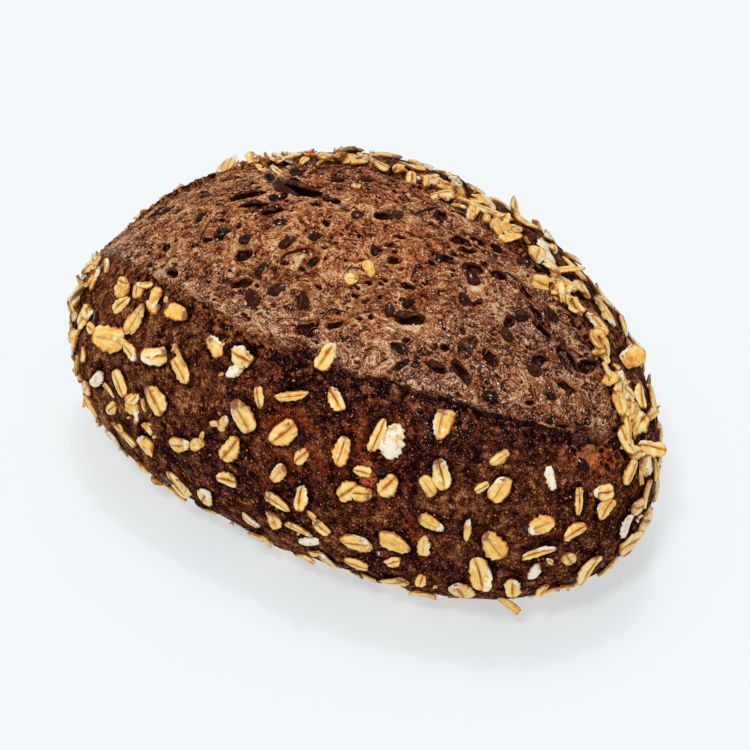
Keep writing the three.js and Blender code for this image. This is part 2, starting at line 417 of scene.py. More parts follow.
def seed_spots():
    """The solid's seeds, drawn in the same order: x, y, heading and length."""
    draws = random_from(SEED_SEED)
    spots = []
    while len(spots) < SEED_COUNT:
        x = SLASH_X + SLASH_HALF_LENGTH * either(draws)
        y = SLASH_Y + SLASH_HALF_WIDTH * either(draws)
        if rim_distance(x, y) > -SEED_RIM_GAP:
            continue
        if any(math.hypot(x - spot[0], y - spot[1]) < SEED_GAP for spot in spots):
            continue
        heading = math.pi * next(draws)
        spots.append((x, y, heading, SEED_LENGTH + SEED_LENGTH_SPREAD * either(draws)))
    return np.array(spots)


OATS = oat_spots()
SEEDS = seed_spots()


def surface_axes(angle, latitude, heading):
    """For each place on the loaf, the unit vectors along the heading, across it and outwards."""
    outward = loaf_normal(angle, latitude)
    level = np.stack([-np.sin(angle), np.cos(angle), np.zeros_like(angle)], -1)
    level = unit(level - outward * np.sum(level * outward, -1, keepdims=True))
    side = np.cross(outward, level)
    along, _ = turned(level, side, heading[..., None])
    return np.stack([along, np.cross(outward, along), outward], -2)


# ---------------------------------------------------------------- relief of the skin
CUT_DEPTH = 10
CUT_WIDTH = 1.3
# The front side changes into the back side over this much on each side of the slash's middle.
SIDE_BLEND = 15
# Stands for the rim's distance where the rim is on the loaf's other side.
FAR_FROM_RIM = 60


def ragged_rim(points):
    """Distance from the slash's rim, made uneven by two noises."""
    rim = rim_distance(points[..., 0], points[..., 1])
    return rim + 1.5 * noise(points, 8, seed=11) + 0.8 * noise(points, 2.6, seed=12)


def front_side(points):
    """1 along the slash's front rim, towards -Y, and 0 along its back rim."""
    return rising(points[..., 1], SLASH_Y + SIDE_BLEND, SLASH_Y - SIDE_BLEND)


# Holes in the skin that the photo shows: x, y, z on the plain loaf, radius and depth.
SKIN_HOLES = np.array(
    [
        (-59.8, -54.2, 45.1, 1.9, 2.4),
        (-63.0, -53.0, 41.5, 1.4, 1.8),
        (-57.5, -55.8, 39.5, 1.6, 2.0),
        (-38.1, -61.9, 37.0, 3.0, 2.2),
        (-66.5, -50.5, 36.5, 1.2, 1.6),
        (60.0, -52.0, 30.0, 1.8, 2.0),
    ]
)
# Where the photo shows skin that baked red: x, y, z on the plain loaf, radius and strength.
RED_SPOTS = np.array(
    [
        (36.8, -53.2, 56.0, 13.0, 1.0),
        (8.0, -55.0, 60.0, 9.0, 0.7),
        (12.0, -62.0, 45.7, 8.0, 0.7),
        (56.0, -56.2, 37.7, 6.0, 0.8),
        (87.0, -19.0, 58.0, 8.0, 1.4),
    ]
)
RUSTY_END = np.array([87, -18, 59])
RUSTY_REACH = 8
# The skin's pits: size of the cells they are scattered over, share of cells without one, and seed.
PIT_SCATTERS = ((11, 0.6, 41), (5, 0.8, 45))


def skin_pits(points):
    """Depth of the skin's pits: cups at the named holes, and in some cells of the scatters."""
    pits = np.zeros(points.shape[:-1])
    for size, without, seed in PIT_SCATTERS:
        away, _, number = scattered(points, size, seed)
        radius = 0.07 + 0.1 * ((number * 7.3) % 1)
        cup = size * radius * 0.8 * clamp01(1 - (away / radius) ** 2)
        pits = np.maximum(pits, np.where(number > without, cup, 0))
    wobble = 0.3 * noise(points, 1.6, seed=43)
    for x, y, z, size, depth in SKIN_HOLES:
        away = np.linalg.norm(points - np.array([x, y, z]), axis=-1) + wobble
        pits = np.maximum(pits, depth * clamp01(1.15 - (away / size) ** 2))
    return pits


def skin_relief(points, on_top):
    """Height of the skin over the plain loaf, its fine relief without the pits, and masks: near the
    rim, where it is crumbly, along the front rim, where it is burnt, and of painted shade, in the
    pits and along a thin shadow line just outside the front rim."""
    x = points[..., 0]
    high = smooth(points[..., 2] / LUMP_FREE_HEIGHT)
    rim = np.where(on_top, ragged_rim(points), FAR_FROM_RIM)
    front = front_side(points)
    lip = LIP_HEIGHT * (1.1 - 0.9 * front) * bell(rim, LIP_WIDTH)
    cut = CUT_DEPTH * smooth(-rim / CUT_WIDTH)
    near = rising(rim, 9, 0) * front + rising(rim, 7, 2) * (1 - front)
    near = near + rising(rim, 22, 14) * (1 - front) * rising(x, -5, -25)
    near = near + bell(np.linalg.norm(points - RUSTY_END, axis=-1), RUSTY_REACH)
    burnt = front * bell(rim - 2.5, 7) * rising(x, -15, 10)
    flow = flowing(points, seed=27)
    fine = (
        0.25 * layered(points, 7, seed=21, layers=2)
        + 0.1 * noise(points, 2.6, seed=24)
        + 0.13 * noise(points, 1.4, seed=26)
        + near * (0.2 * ridged(flow, 2.2, seed=28) + 0.15 * ridged(points, 1.6, seed=29, layers=1))
    )
    pits = skin_pits(points)
    broad = LUMP_RELIEF * lumps(points) * high + lip - cut
    fine = (fine - pits) * high
    # A painted shadow line just outside the front rim, under the crumb's raised edge; it darkens
    # the skin with the pits' shade.
    line = front * rising(x, -20, 5) * bell(rim - 1.3, 0.9)
    masks = {"burnt": burnt, "near": clamp01(near), "pit_and_rim_shade": clamp01(pits + 0.45 * line)}
    return broad + fine, fine + pits * high, masks


def skin_surface(angle, latitude):
    """Points of the skin, with what skin_relief gives."""
    points = loaf_point(angle, latitude)
    height, fine, masks = skin_relief(points, latitude > 0)
    return points + loaf_normal(angle, latitude) * height[..., None], fine, masks


# ---------------------------------------------------------------- relief of the crumb
CRUMB_REACH = 2.6
DIVE = 3.5
OPENING_SEED = 6
OPENING_COUNT = 58
OPENING_GAP = 3.4

# Burst bubbles and tears that the photo shows in the crumb: x, y, half length, half width, depth,
# turn, and the height of the torn film on their far side.
OPENINGS = np.array(
    [
        (-25.0, 1.2, 9.5, 1.9, 3.4, 0.0, 2.8),
        (-41.0, -4.0, 5.5, 0.9, 2.0, 0.65, 1.9),
        (-35.4, -9.4, 4.0, 0.8, 1.6, 0.57, 1.6),
        (-27.8, -10.8, 3.2, 0.7, 1.4, 0.72, 1.5),
        (-12.6, 0.2, 3.5, 0.8, 1.4, 0.3, 1.7),
        (-34.0, 5.8, 4.5, 0.8, 1.4, 0.5, 1.4),
        (3.7, 0.7, 2.4, 1.2, 1.5, 0.4, 1.0),
        (16.4, -12.1, 2.2, 1.1, 1.4, 0.5, 0.9),
        (28.4, -0.9, 2.6, 1.0, 1.4, 0.2, 1.2),
        (26.4, 6.9, 2.6, 1.3, 1.6, 0.5, 1.2),
        (29.2, 12.5, 2.2, 1.2, 1.5, 0.5, 1.1),
        (35.3, 0.9, 2.8, 1.0, 1.6, 0.5, 1.6),
        (36.4, 5.1, 1.1, 0.8, 1.4, 0.0, 0.5),
        (41.4, 5.0, 2.2, 1.0, 1.6, 0.5, 1.3),
        (49.6, 8.7, 3.0, 1.1, 1.9, -0.2, 1.0),
        (57.3, 2.5, 4.2, 1.0, 2.0, -0.2, 1.2),
        (60.8, -0.8, 3.3, 1.0, 1.6, -0.1, 1.3),
        (30.5, -24.5, 4.2, 1.6, 1.9, 0.42, 2.0),
        (48.5, -22.5, 3.4, 2.2, 1.7, 1.5, 1.1),
        (35.1, -36.7, 2.6, 0.8, 1.3, 0.97, 1.2),
        (44.5, -31.6, 2.8, 1.0, 1.5, 0.12, 1.3),
        (50.9, -28.8, 3.8, 1.3, 1.7, -0.25, 1.7),
        (70.5, -2.2, 4.2, 2.2, 1.8, -0.2, 1.3),
        (74.5, -9.9, 2.6, 1.4, 1.7, 0.4, 0.8),
        (-20.6, -35.4, 2.6, 1.2, 1.7, 0.5, 0.9),
        (4.6, -39.0, 3.0, 1.4, 1.8, 0.6, 1.2),
        (11.7, -35.4, 2.4, 0.9, 1.3, 0.5, 0.9),
        (-8.1, -23.7, 5.2, 3.6, 0.9, 0.6, 0.9),
    ]
)
# Rusty spots that the photo shows in the crumb: x, y, half length, half width and turn.
RUST_SPOTS = np.array(
    [(34.1, -26.3, 5.0, 1.5, 0.3), (61.0, -22.0, 3.0, 1.6, 0.3), (-12.8, -0.6, 3.5, 1.5, 0.4)]
)
# The heading away from the camera.
FAR_SIDE = math.pi / 2 + AZIMUTH
# Torn sheets: size of the noise they follow and how far they stand up.
SHEETS = ((10, 0.4), (6, 0.26), (3.4, 0.16))
# Small bubbles: size of the cells they are scattered over, share of cells without one, and seed.
BUBBLE_SCATTERS = ((4.2, 0.84, 57), (2.4, 0.72, 58), (1.4, 0.66, 59))


def local(x, y, centre_x, centre_y, turn):
    """Coordinates along and across a heading, from a centre."""
    return turned(x - centre_x, y - centre_y, turn)


def inside_slash(rng, reach):
    """A random place in the slash, within a share of the way to its rim."""
    along = rng.uniform(-reach, reach)
    half = SLASH_HALF_WIDTH * math.sqrt(1 - along * along)
    return SLASH_X + SLASH_HALF_LENGTH * along, SLASH_Y + half * rng.uniform(-reach, reach)


def openings():
    """The crumb's burst bubbles and tears: those that the photo shows, then smaller ones by a
    seeded draw, more of them towards +X and none on another or on a seed."""
    rng = np.random.default_rng(OPENING_SEED)
    rows = [tuple(row) for row in OPENINGS]
    taken = [row[:2] for row in rows] + [tuple(seed[:2]) for seed in SEEDS]
    while len(rows) < len(OPENINGS) + OPENING_COUNT:
        x, y = inside_slash(rng, 0.95)
        if rng.random() > 0.35 + 0.65 * rising(x, -40, 20):
            continue
        if min(math.hypot(x - at_x, y - at_y) for at_x, at_y in taken) < OPENING_GAP:
            continue
        half = 0.5 + 2.3 * rng.random() ** 3
        across_half = half * rng.uniform(0.25, 0.75)
        taken.append((x, y))
        film = (0.2 + 0.4 * half) * (rng.random() < 0.6)
        rows.append((x, y, half, across_half, 0.5 + 0.9 * across_half, rng.normal(0.4, 0.8), film))
    return np.array(rows)


HOLES = openings()


def opening_relief(x, y, wobble):
    """The openings are steep hollows with a low lip round them. Returns their depth, and masks of
    the lip and of their inside, which is painted dark as shade, the more so the deeper and narrower
    the opening."""
    depth, lip, hole = np.zeros_like(x), np.zeros_like(x), np.zeros_like(x)
    for centre_x, centre_y, half, across_half, deep, turn, _ in HOLES:
        along, across = local(x, y, centre_x, centre_y, turn)
        close = (np.abs(along) < 2 * half + 1) & (np.abs(across) < 2 * across_half + 1)
        away = np.hypot(along[close] / half, across[close] / across_half)
        away = away * (1 + 0.16 * wobble[close])
        edge = 0.5 / across_half
        depth[close] = np.maximum(depth[close], deep * smooth((1 - away) / (1.6 * edge) + 0.5))
        # How dark the inside is painted as shade: more for deep, narrow openings.
        wet_and_shade = clamp01(2 * deep / across_half - 1)
        hole[close] = np.maximum(hole[close], smooth((1 - away) / edge + 0.5) * wet_and_shade)
        raised = bell((away - 1) / edge - 1.1, 0.7) * min(1, across_half)
        lip[close] = np.maximum(lip[close], raised)
    return depth, lip, hole


def sheets(points, seed):
    """Torn sheets of dough: where a noise crosses 0 the crumb steps up and then falls off slowly.
    Another noise breaks the steps up, so that they show as arcs. Returns the height and masks of
    the edges and of the foot of the steps, which the crumb's colour uses for a painted glow on the
    edges and painted shade at the foot."""
    height = np.zeros(points.shape[:-1])
    edge, foot = height.copy(), height.copy()
    for size, lift in SHEETS:
        level = noise(points, size, seed) + 0.12 * noise(points, size / 4, seed + 1)
        shown = smooth(noise(points, size * 0.9, seed + 2) * 2.2 + 0.1)
        thin = 0.6 / size
        step = smooth(level / thin + 0.5) * np.exp(-np.maximum(level, 0) / (5 * thin))
        below = shown * bell(level + 0.7 * thin, 0.7 * thin)
        height += lift * (shown * step - 0.5 * below)
        edge = np.maximum(edge, shown * bell(level - 0.5 * thin, 0.5 * thin))
        foot = np.maximum(foot, below)
        seed += 3
    return height, edge, foot


def bubbles(points):
    """Depth of the crumb's own small bubbles: cups in some cells of the scatters."""
    depth = np.zeros(points.shape[:-1])
    for size, without, seed in BUBBLE_SCATTERS:
        away, _, number = scattered(points * np.array([0.7, 1, 1]), size, seed)
        radius = 0.2 + 0.22 * ((number * 5.7) % 1)
        cup = size * 0.24 * clamp01(1.2 * (1 - (away / radius) ** 2))
        depth += np.where(number > without, cup, 0)
    return depth


def seed_hollows(x, y):
    """Each seed lies in a shallow hollow of the crumb."""
    hollow = np.zeros_like(x)
    for seed_x, seed_y, turn, length in SEEDS:
        along, across = local(x, y, seed_x, seed_y, turn)
        away = np.hypot(along / (length * 0.6), across / (length * 0.38))
        hollow += 0.7 * bell(away, 1) - 0.25 * bell(away - 1.5, 0.35)
    return hollow


def crumb_relief(x, y):
    """Height of the crumb over the plain loaf, its fine relief without the openings, and masks. It
    rises flush with the skin at the front rim, folds over there towards +X, and dives under the
    skin past the rim."""
    angle, latitude = dome_coordinates(x, y)
    points = loaf_point(angle, latitude)
    rim = ragged_rim(points)
    wobble = 0.9 * noise(points, 5, seed=48) + 0.6 * noise(points, 1.9, seed=49)
    depth, lip, hole = opening_relief(x, y, wobble)
    torn, torn_edge, torn_foot = sheets(flowing(points, seed=51, pull=0.6), seed=61)
    small = bubbles(points)
    strands = 0.12 * ridged(flowing(points, seed=51, pull=0.5), 3.2, seed=52)
    grit = 0.07 * noise(points, 1.3, seed=54) + 0.07 * noise(points, 0.75, seed=55)
    wave = 0.3 * noise(points, 9, seed=56)
    moist = rising(x, 22, 67)
    wave = wave + 0.5 * moist * (np.abs(noise(points, 5, seed=57)) - 0.4)
    fine = wave + strands + torn + 0.3 * lip - seed_hollows(x, y) - depth - small + grit
    front = front_side(points)
    broad = LUMP_RELIEF * lumps(points) + CRUMB_RELIEF * tears(points) - SLASH_DROP
    broad = broad + 1.1 * rising(rim, -10, 0)
    flush = LUMP_RELIEF * lumps(points) + LIP_HEIGHT * (1.1 - 0.9 * front) + 0.15
    broad = broad + (flush - broad) * front * rising(rim, -5, 0)
    fold = front * rising(x, 40, 50) * bell(rim + 1.1 + 0.5 * wobble, 0.75)
    broad = broad + 1.1 * fold
    dive = DIVE * rising(rim, -0.1, 1.9)
    fine = fine * (0.5 + 0.5 * smooth(-rim / STEP_WIDTH))
    rust = np.zeros_like(x)
    for spot_x, spot_y, half, across_half, turn in RUST_SPOTS:
        along, across = local(x, y, spot_x, spot_y, turn)
        away = np.hypot(along / half, across / across_half) + 0.2 * wobble
        rust = np.maximum(rust, rising(away, 1.2, 0.8))
    masks = {
        "golden": rising(np.hypot((x + 6) / 60, (y + 10) / 25), 1.25, 0.25),
        "edge": np.maximum(0.8 * lip * (1 - hole), 0.7 * torn_edge),
        # The edge mask carries a painted glow on lips and torn edges; the dark and hole masks carry
        # painted shade at the feet of torn sheets, in small bubbles and inside the openings.
        "dark": np.maximum(torn_foot * 0.7, clamp01(small / 0.3)),
        "hole": hole,
        "rust": rust,
        "moist": clamp01(moist + 0.7 * front * rising(rim, -16, -4)),
        "burnt": clamp01(front * rising(rim, -2.2, 0.2) * rising(x, -15, 15) + 0.5 * fold),
        "near": rising(rim, -4, 1) * (1 - 0.6 * front * rising(x, 30, 50)),
    }
    return broad + fine - dive, fine + depth, masks


def crumb_surface(x, y):
    """Points of the crumb's upper face over (x, y), with what crumb_relief gives."""
    angle, latitude = dome_coordinates(x, y)
    height, fine, masks = crumb_relief(x, y)
    normal = dome_normal(x, y)
    return loaf_point(angle, latitude) + normal * height[..., None], fine, masks


def dome_normal(x, y):
    """Outward normal of the plain dome over (x, y), from the slopes of its height."""
    step = 0.4

    def height(at_x, at_y):
        return loaf_point(*dome_coordinates(at_x, at_y))[..., 2]

    slope_x = (height(x + step, y) - height(x - step, y)) / (2 * step)
    slope_y = (height(x, y + step) - height(x, y - step)) / (2 * step)
    return unit(np.stack([-slope_x, -slope_y, np.ones_like(slope_x)], -1))


# ---------------------------------------------------------------- meshes
def new_piece(name, points, faces, material, masks=None, vectors=None):
    """A mesh object at the origin from points in millimetres of the unshifted loaf and lists of
    faces, with float and vector attributes on its points. It rides on the loaf and replaces it."""
    mesh = bpy.data.meshes.new(name)
    flat = (points.reshape(-1, 3) + MIDDLE) * MM
    mesh.from_pydata(flat, [], [face for group in faces for face in group.tolist()])
    for key, values in (masks or {}).items():
        layer = mesh.attributes.new(key, "FLOAT", "POINT")
        layer.data.foreach_set("value", np.ascontiguousarray(values, np.float32).ravel())
    for key, values in (vectors or {}).items():
        layer = mesh.attributes.new(key, "FLOAT_VECTOR", "POINT")
        layer.data.foreach_set("vector", np.ascontiguousarray(values, np.float32).ravel())
    mesh.shade_smooth()
    mesh.materials.append(material)
    piece = bpy.data.objects.new(name, mesh)
    bpy.context.scene.collection.objects.link(piece)
    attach(piece, BODY)
    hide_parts(SOLID)
    return piece


def ring_quads(rows, columns):
    """Quads between rows of points, where each row closes on itself."""
    index = np.arange(rows * columns).reshape(rows, columns)
    after = np.roll(index, -1, axis=1)
    return np.stack([index[:-1], index[1:], after[1:], after[:-1]], -1).reshape(-1, 4)


def fan(ring, pole, flip):
    """Triangles from a closed ring of points to a pole."""
    after = np.roll(ring, -1)
    sides = (after, ring) if flip else (ring, after)
    return np.stack([np.full_like(ring, pole), *sides], -1)


def closed_faces(rows, columns):
    """Faces of one closed form: quads between its rows, and a fan to a pole at each end."""
    rings = np.arange(rows * columns).reshape(rows, columns)
    return [
        ring_quads(rows, columns),
        fan(rings[0], rings.size, False),
        fan(rings[-1], rings.size + 1, True),
    ]


def shell_faces(count, stations, round_count):
    """Faces of many closed shells: quads between stations, and fans to a pole at each end. The
    points are all the shells' grids, then two poles for each shell."""
    one = stations * round_count
    first = np.arange(count)[:, None, None] * one
    quads = ring_quads(stations, round_count)[:, ::-1][None] + first
    index = np.arange(round_count)
    after = np.roll(index, -1)
    start, end = index + first[:, 0], index + first[:, 0] + one - round_count
    start_after, end_after = after + first[:, 0], after + first[:, 0] + one - round_count
    poles = count * one + 2 * np.arange(count)[:, None]
    low = np.stack([np.broadcast_to(poles, start.shape), start_after, start], -1)
    high = np.stack([np.broadcast_to(poles + 1, end.shape), end, end_after], -1)
    return [quads.reshape(-1, 4), low.reshape(-1, 3), high.reshape(-1, 3)]


def with_poles(values):
    """What many shells have at each of their points, then the means of their end rings, which are
    their poles."""
    ends = np.stack([values[:, 0].mean(1), values[:, -1].mean(1)], 1)
    kind = values.shape[3:]
    return np.concatenate([values.reshape(-1, *kind), ends.reshape(-1, *kind)])


def for_shells(numbers, each):
    """A number of each shell, at all its points and then at its two poles."""
    return np.concatenate([np.repeat(numbers, each), np.repeat(numbers, 2)])


def standing_out(relief, close, times, wide):
    """How far a relief stands above what lies close round it and, after some times of blurring,
    more widely, each over a height."""
    return (relief - blurred(relief, 3)) / close + (relief - blurred(relief, times)) / wide


def blurred(grid, times):
    """A grid of heights averaged with its neighbours, several times. Columns wrap, rows don't."""
    for _ in range(times):
        padded = np.pad(grid, ((1, 1), (0, 0)), mode="edge")
        tall = (padded[:-2] + 2 * padded[1:-1] + padded[2:]) / 4
        grid = (np.roll(tall, 1, 1) + 2 * tall + np.roll(tall, -1, 1)) / 4
    return grid


# ---------------------------------------------------------------- materials
# Tints of the coats, which keep their glints warm.
SKIN_COAT_TINT = (1, 0.84, 0.78, 1)
CRUMB_COAT_TINT = (1, 0.88, 0.82, 1)
# Size of the crumb's smallest cells.
WALL_SIZE = 1.15


class Value:
    """A shader socket. Arithmetic on it adds Math nodes to its tree."""

    def __init__(self, tree, socket):
        self.tree = tree
        self.socket = socket

    def math(self, operation, *others):
        node = self.tree.nodes.new("ShaderNodeMath")
        node.operation = operation
        for slot, item in zip(node.inputs, (self, *others)):
            plug(self.tree, slot, item)
        return Value(self.tree, node.outputs[0])

    def __add__(self, other):
        return self.math("ADD", other)

    def __mul__(self, other):
        return self.math("MULTIPLY", other)

    def __sub__(self, other):
        return self.math("SUBTRACT", other)

    def __rsub__(self, other):
        return (self * -1) + other

    def __abs__(self):
        return self.math("ABSOLUTE")

    def above(self, low, high):
        """0 under low and 1 over high, straight between them. Reversed, if low is the larger."""
        return ((self - low) * (1 / (high - low))).clamped()

    def varied(self, *noises):
        """Adds noises about their middle, each with a weight."""
        total = self
        for noise_value, weight in noises:
            total = total + (noise_value - 0.5) * weight
        return total

    def stretched(self, times):
        """Its contrast about the middle made larger by some times."""
        return ((self - 0.5) * times + 0.5).clamped()

    def clamped(self):
        node = self.tree.nodes.new("ShaderNodeClamp")
        plug(self.tree, node.inputs[0], self)
        return Value(self.tree, node.outputs[0])

    __radd__ = __add__
    __rmul__ = __mul__


def plug(tree, slot, item):
    """Links a Value to a socket, or sets the socket to a number, colour or vector."""
    if isinstance(item, Value):
        tree.links.new(item.socket, slot)
    elif hasattr(item, "__len__") and len(slot.default_value) == 4:
        slot.default_value = (*item[:3], 1)
    else:
        slot.default_value = item


class Finish:
    """One node material, built by method calls."""

    def __init__(self, name):
        self.material = bpy.data.materials.new(name)
        self.material.use_nodes = True
        self.tree = self.material.node_tree
        self.shader = self.tree.nodes["Principled BSDF"]

    def node(self, kind, output=0, settings=None, **inputs):
        node = self.tree.nodes.new("ShaderNode" + kind)
        for key, value in (settings or {}).items():
            setattr(node, key, value)
        for key, value in inputs.items():
            plug(self.tree, node.inputs[key.replace("_", " ")], value)
        return Value(self.tree, node.outputs[output])

    def place(self):
        return self.node("TexCoord", "Object")

    def mask(self, name):
        return self.node("Attribute", "Fac", {"attribute_name": name})

    def masks(self, *names):
        return [self.mask(name) for name in names]

    def vector(self, name):
        return self.node("Attribute", "Vector", {"attribute_name": name})

    def noise(self, size, detail=2.0, rough=0.5, where=None):
        """Noise from 0 to 1 with features about size millimetres across."""
        return self.node(
            "TexNoise",
            "Fac",
            Vector=where or self.place(),
            Scale=1 / (size * MM),
            Detail=detail,
            Roughness=rough,
        )

    def warped(self, amount, size):
        """The place moved about by up to amount millimetres by a noise of a size."""
        shift = self.node(
            "TexNoise", "Color", Vector=self.place(), Scale=1 / (size * MM * 2), Detail=1.0
        )
        away = self.node("VectorMath", 0, {"operation": "SUBTRACT"}, Vector=shift)
        away.socket.node.inputs[1].default_value = (0.5, 0.5, 0.5)
        move = self.node("VectorMath", 0, {"operation": "MULTIPLY_ADD"}, Vector=away)
        move.socket.node.inputs[1].default_value = (amount * MM,) * 3
        self.tree.links.new(self.place().socket, move.socket.node.inputs[2])
        return move

    def cells(self, size, output="Distance", where=None, feature="F1"):
        """A scatter of cells about size millimetres across."""
        return self.node(
            "TexVoronoi",
            output,
            {"feature": feature},
            Vector=where or self.place(),
            Scale=1 / (size * MM),
        )

    def dots(self, size, share, radius=0.24, where=None):
        """Crisp dots in a share of the cells of a size: 1 in them and 0 between."""
        number = self.node("SeparateColor", 0, Color=self.cells(size, "Color", where))
        chosen = number.above(1 - share - 0.03, 1 - share + 0.03)
        return self.cells(size, where=where).above(radius, radius * 0.5) * chosen

    def billows(self, size, where=None):
        """Rounded lumps from 1 down to 0 in the sharp creases between them."""
        return (abs(self.noise(size, 2, 0.5, where) - 0.5) * 5).clamped()

    def veins(self, size, width, where=None):
        """Thin curved lines where a noise crosses its middle."""
        return abs(self.noise(size, 2, 0.5, where) - 0.5).above(width, width * 0.3)

    def blend(self, share, first, second, kind="MIX"):
        """A colour between two, by a share from 0 to 1."""
        node = self.tree.nodes.new("ShaderNodeMix")
        node.data_type = "RGBA"
        node.blend_type = kind
        for slot, item in zip((0, 6, 7), (share, first, second)):
            plug(self.tree, node.inputs[slot], item)
        return Value(self.tree, node.outputs[2])

    def ramp(self, share, *colours):
        """A colour along evenly spaced colours, by a share from 0 to 1."""
        base = colours[0]
        for step, colour in enumerate(colours[1:]):
            base = self.blend((share * (len(colours) - 1) - step).clamped(), base, colour)
        return base

    def shaded(self, base, share):
        """A colour times a share."""
        grey = self.node("CombineColor", 0, Red=share, Green=share, Blue=share)
        return self.blend(1.0, base, grey, "MULTIPLY")

    def bump(self, height, distance, strength=1.0):
        """A normal from a height, whose 0 to 1 stands for a distance in millimetres."""
        return self.node("Bump", "Normal", Height=height, Distance=distance * MM, Strength=strength)

    def finish(self, **inputs):
        for key, value in inputs.items():
            plug(self.tree, self.shader.inputs[key.replace("_", " ")], value)
        return self.material


def from_screen(red, green, blue):
    """A linear colour from its 8-bit screen values."""
    return tuple(
        share / 12.92 if share <= 0.04045 else ((share + 0.055) / 1.055) ** 2.4
        for share in (red / 255, green / 255, blue / 255)
    )


# ---------------------------------------------------------------- properties
def colour(name, description, *screen):
    return FloatVectorProperty(
        name=name, description=description, subtype="COLOR", size=3, default=from_screen(*screen)
    )


class LoafColours(bpy.types.PropertyGroup):
    """Colours of the baked loaf."""

    # The skin's colours run along its tone, which follows its relief: the hollows colour paints
    # shade into hollows, and the light and ridge colours paint light onto raised parts and ridges.
    skin_deep: colour("Skin hollows", "Hollows and burnt parts of the skin", 26, 9, 6)
    skin_dark: colour("Dark skin", "Darker skin", 71, 30, 18)
    skin: colour("Skin", "Main colour of the baked skin", 108, 54, 33)
    skin_light: colour("Light skin", "Raised and matt parts of the skin", 142, 84, 54)
    skin_glint: colour("Skin ridges", "Lightest parts of the skin", 204, 140, 86)
    skin_red: colour("Red skin", "Where the skin baked red", 156, 52, 12)
    skin_rust: colour("Rusty skin", "Reddest spots of the skin", 248, 150, 84)
    amber: colour("Amber blisters", "Thin blisters of the skin", 150, 72, 22)
    # A painted glint colour: tiny light points that stand for wet glints on the skin.
    spark: colour("Skin sparks", "Tiny wet points of the skin", 214, 184, 170)
    bran: colour("Bran", "Specks of bran in the skin", 214, 150, 72)
    # The crumb's colours run along its tone, which follows its relief: the hollows colour paints
    # shade into hollows, and the light and pale colours paint light onto raised parts; the pale one
    # also colours grains.
    crumb_deep: colour("Crumb hollows", "Hollows of the crumb", 26, 6, 2)
    crumb_dark: colour("Dark crumb", "Darker crumb", 116, 48, 16)
    crumb: colour("Crumb", "Main colour of the opened crumb", 176, 98, 44)
    crumb_light: colour("Light crumb", "Raised parts of the crumb", 216, 146, 80)
    crumb_pale: colour("Pale crumb", "Grains in the crumb", 248, 214, 164)
    # A painted glint colour for light points, which also stand for starch grains.
    crumb_glint: colour("Crumb glints", "Wet points and starch grains in the crumb", 255, 226, 196)
    # The purple colours stand partly for a painted mauve sheen on the crumb.
    purple_dark: colour("Dark purple crumb", "Darker purple parts of the crumb", 82, 34, 20)
    purple: colour("Purple crumb", "Purple parts of the crumb", 132, 70, 44)
    purple_light: colour("Light purple crumb", "Raised purple parts of the crumb", 178, 116, 78)
    # Rusty crumb, which also paints a glow onto thin torn edges where light would shine through.
    crumb_rust_and_glow: colour("Rusty crumb", "Thin torn edges that light shines through", 206, 104, 42)
    # The openings' wet red-brown insides, painted dark as shade.
    wet_and_shade: colour("Inside of openings", "Wet red-brown inside of the crumb's openings", 78, 28, 13)
    film: colour("Torn film", "Thin torn films round the openings", 104, 42, 20)
    # A painted glow: the films' lighter, more orange edges stand for light shining through.
    film_edge_glow: colour("Film edge", "Edges of the films, which light shines through", 206, 122, 64)
    oat_toasted: colour("Toasted oat", "Darkest parts of a rolled oat's face", 196, 112, 40)
    oat: colour("Oat", "Main colour of a rolled oat", 255, 201, 101)
    oat_light: colour("Light oat", "Lightest parts of a rolled oat's face", 255, 236, 170)
    oat_crease: colour("Oat crease", "Crease of a rolled oat", 150, 66, 8)
    oat_germ: colour("Oat germ", "Brown end of some rolled oats", 124, 52, 28)
    oat_flour: colour("Oat flour", "Torn faces where the flour shows", 250, 241, 218)
    seed: colour("Seed", "Linseeds", 34, 15, 8)
    seed_red: colour("Red seed", "Redder linseeds", 62, 22, 10)
    seed_light: colour("Light seed", "Paler parts of linseeds", 70, 40, 25)


def millimetres(name, description, default):
    return FloatProperty(name=name, description=description, default=default * MM, unit="LENGTH")


def how_many(name, description, default):
    return IntProperty(name=name, description=description, default=default)


class LoafSizes(bpy.types.PropertyGroup):
    """Sizes of what is baked onto the loaf."""

    oat_thickness: millimetres("Oat thickness", "Thickness of a rolled oat in its middle", 1.05)
    bit_count: how_many("Oat bits", "The most broken bits of oat on the skin", 340)
    rim_count: how_many("Rim oats", "How many oats crowd the slash's back rim", 95)
    end_count: how_many("End oats", "How many more oats crowd the loaf's -X end", 84)
    more_count: how_many("More oats", "How many smaller oats lie between the solid's own", 80)
    seed_thickness: millimetres("Seed thickness", "Thickness of a linseed", 2.1)
    skin_seed_count: how_many("Skin seeds", "How many linseeds are baked into the skin", 44)
    grain: millimetres("Grain size", "Mean size of the grains in the crumb", 0.58)
    grain_count: how_many("Grains", "The most grains in the crumb", 2600)
    bran: millimetres("Bran size", "Mean size of the bran specks on the skin", 0.56)
    bran_count: how_many("Bran specks", "How many bran specks lie on the skin", 3400)


# ---------------------------------------------------------------- skin
AROUND = 690
INNER_SHARES = (0.2, 0.55, 0.85)
INNER_STEPS = (-3.2, -2.4, -1.8, -1.2, -0.6)
SKIN_ROWS = 94
UNDER_ROWS = 32
BASE_SHARES = (0.97, 0.85, 0.6, 0.3)
FLAT_LATITUDE = math.asin((1 / BASE_CUT) ** (UNDERSIDE_POWER / 2))


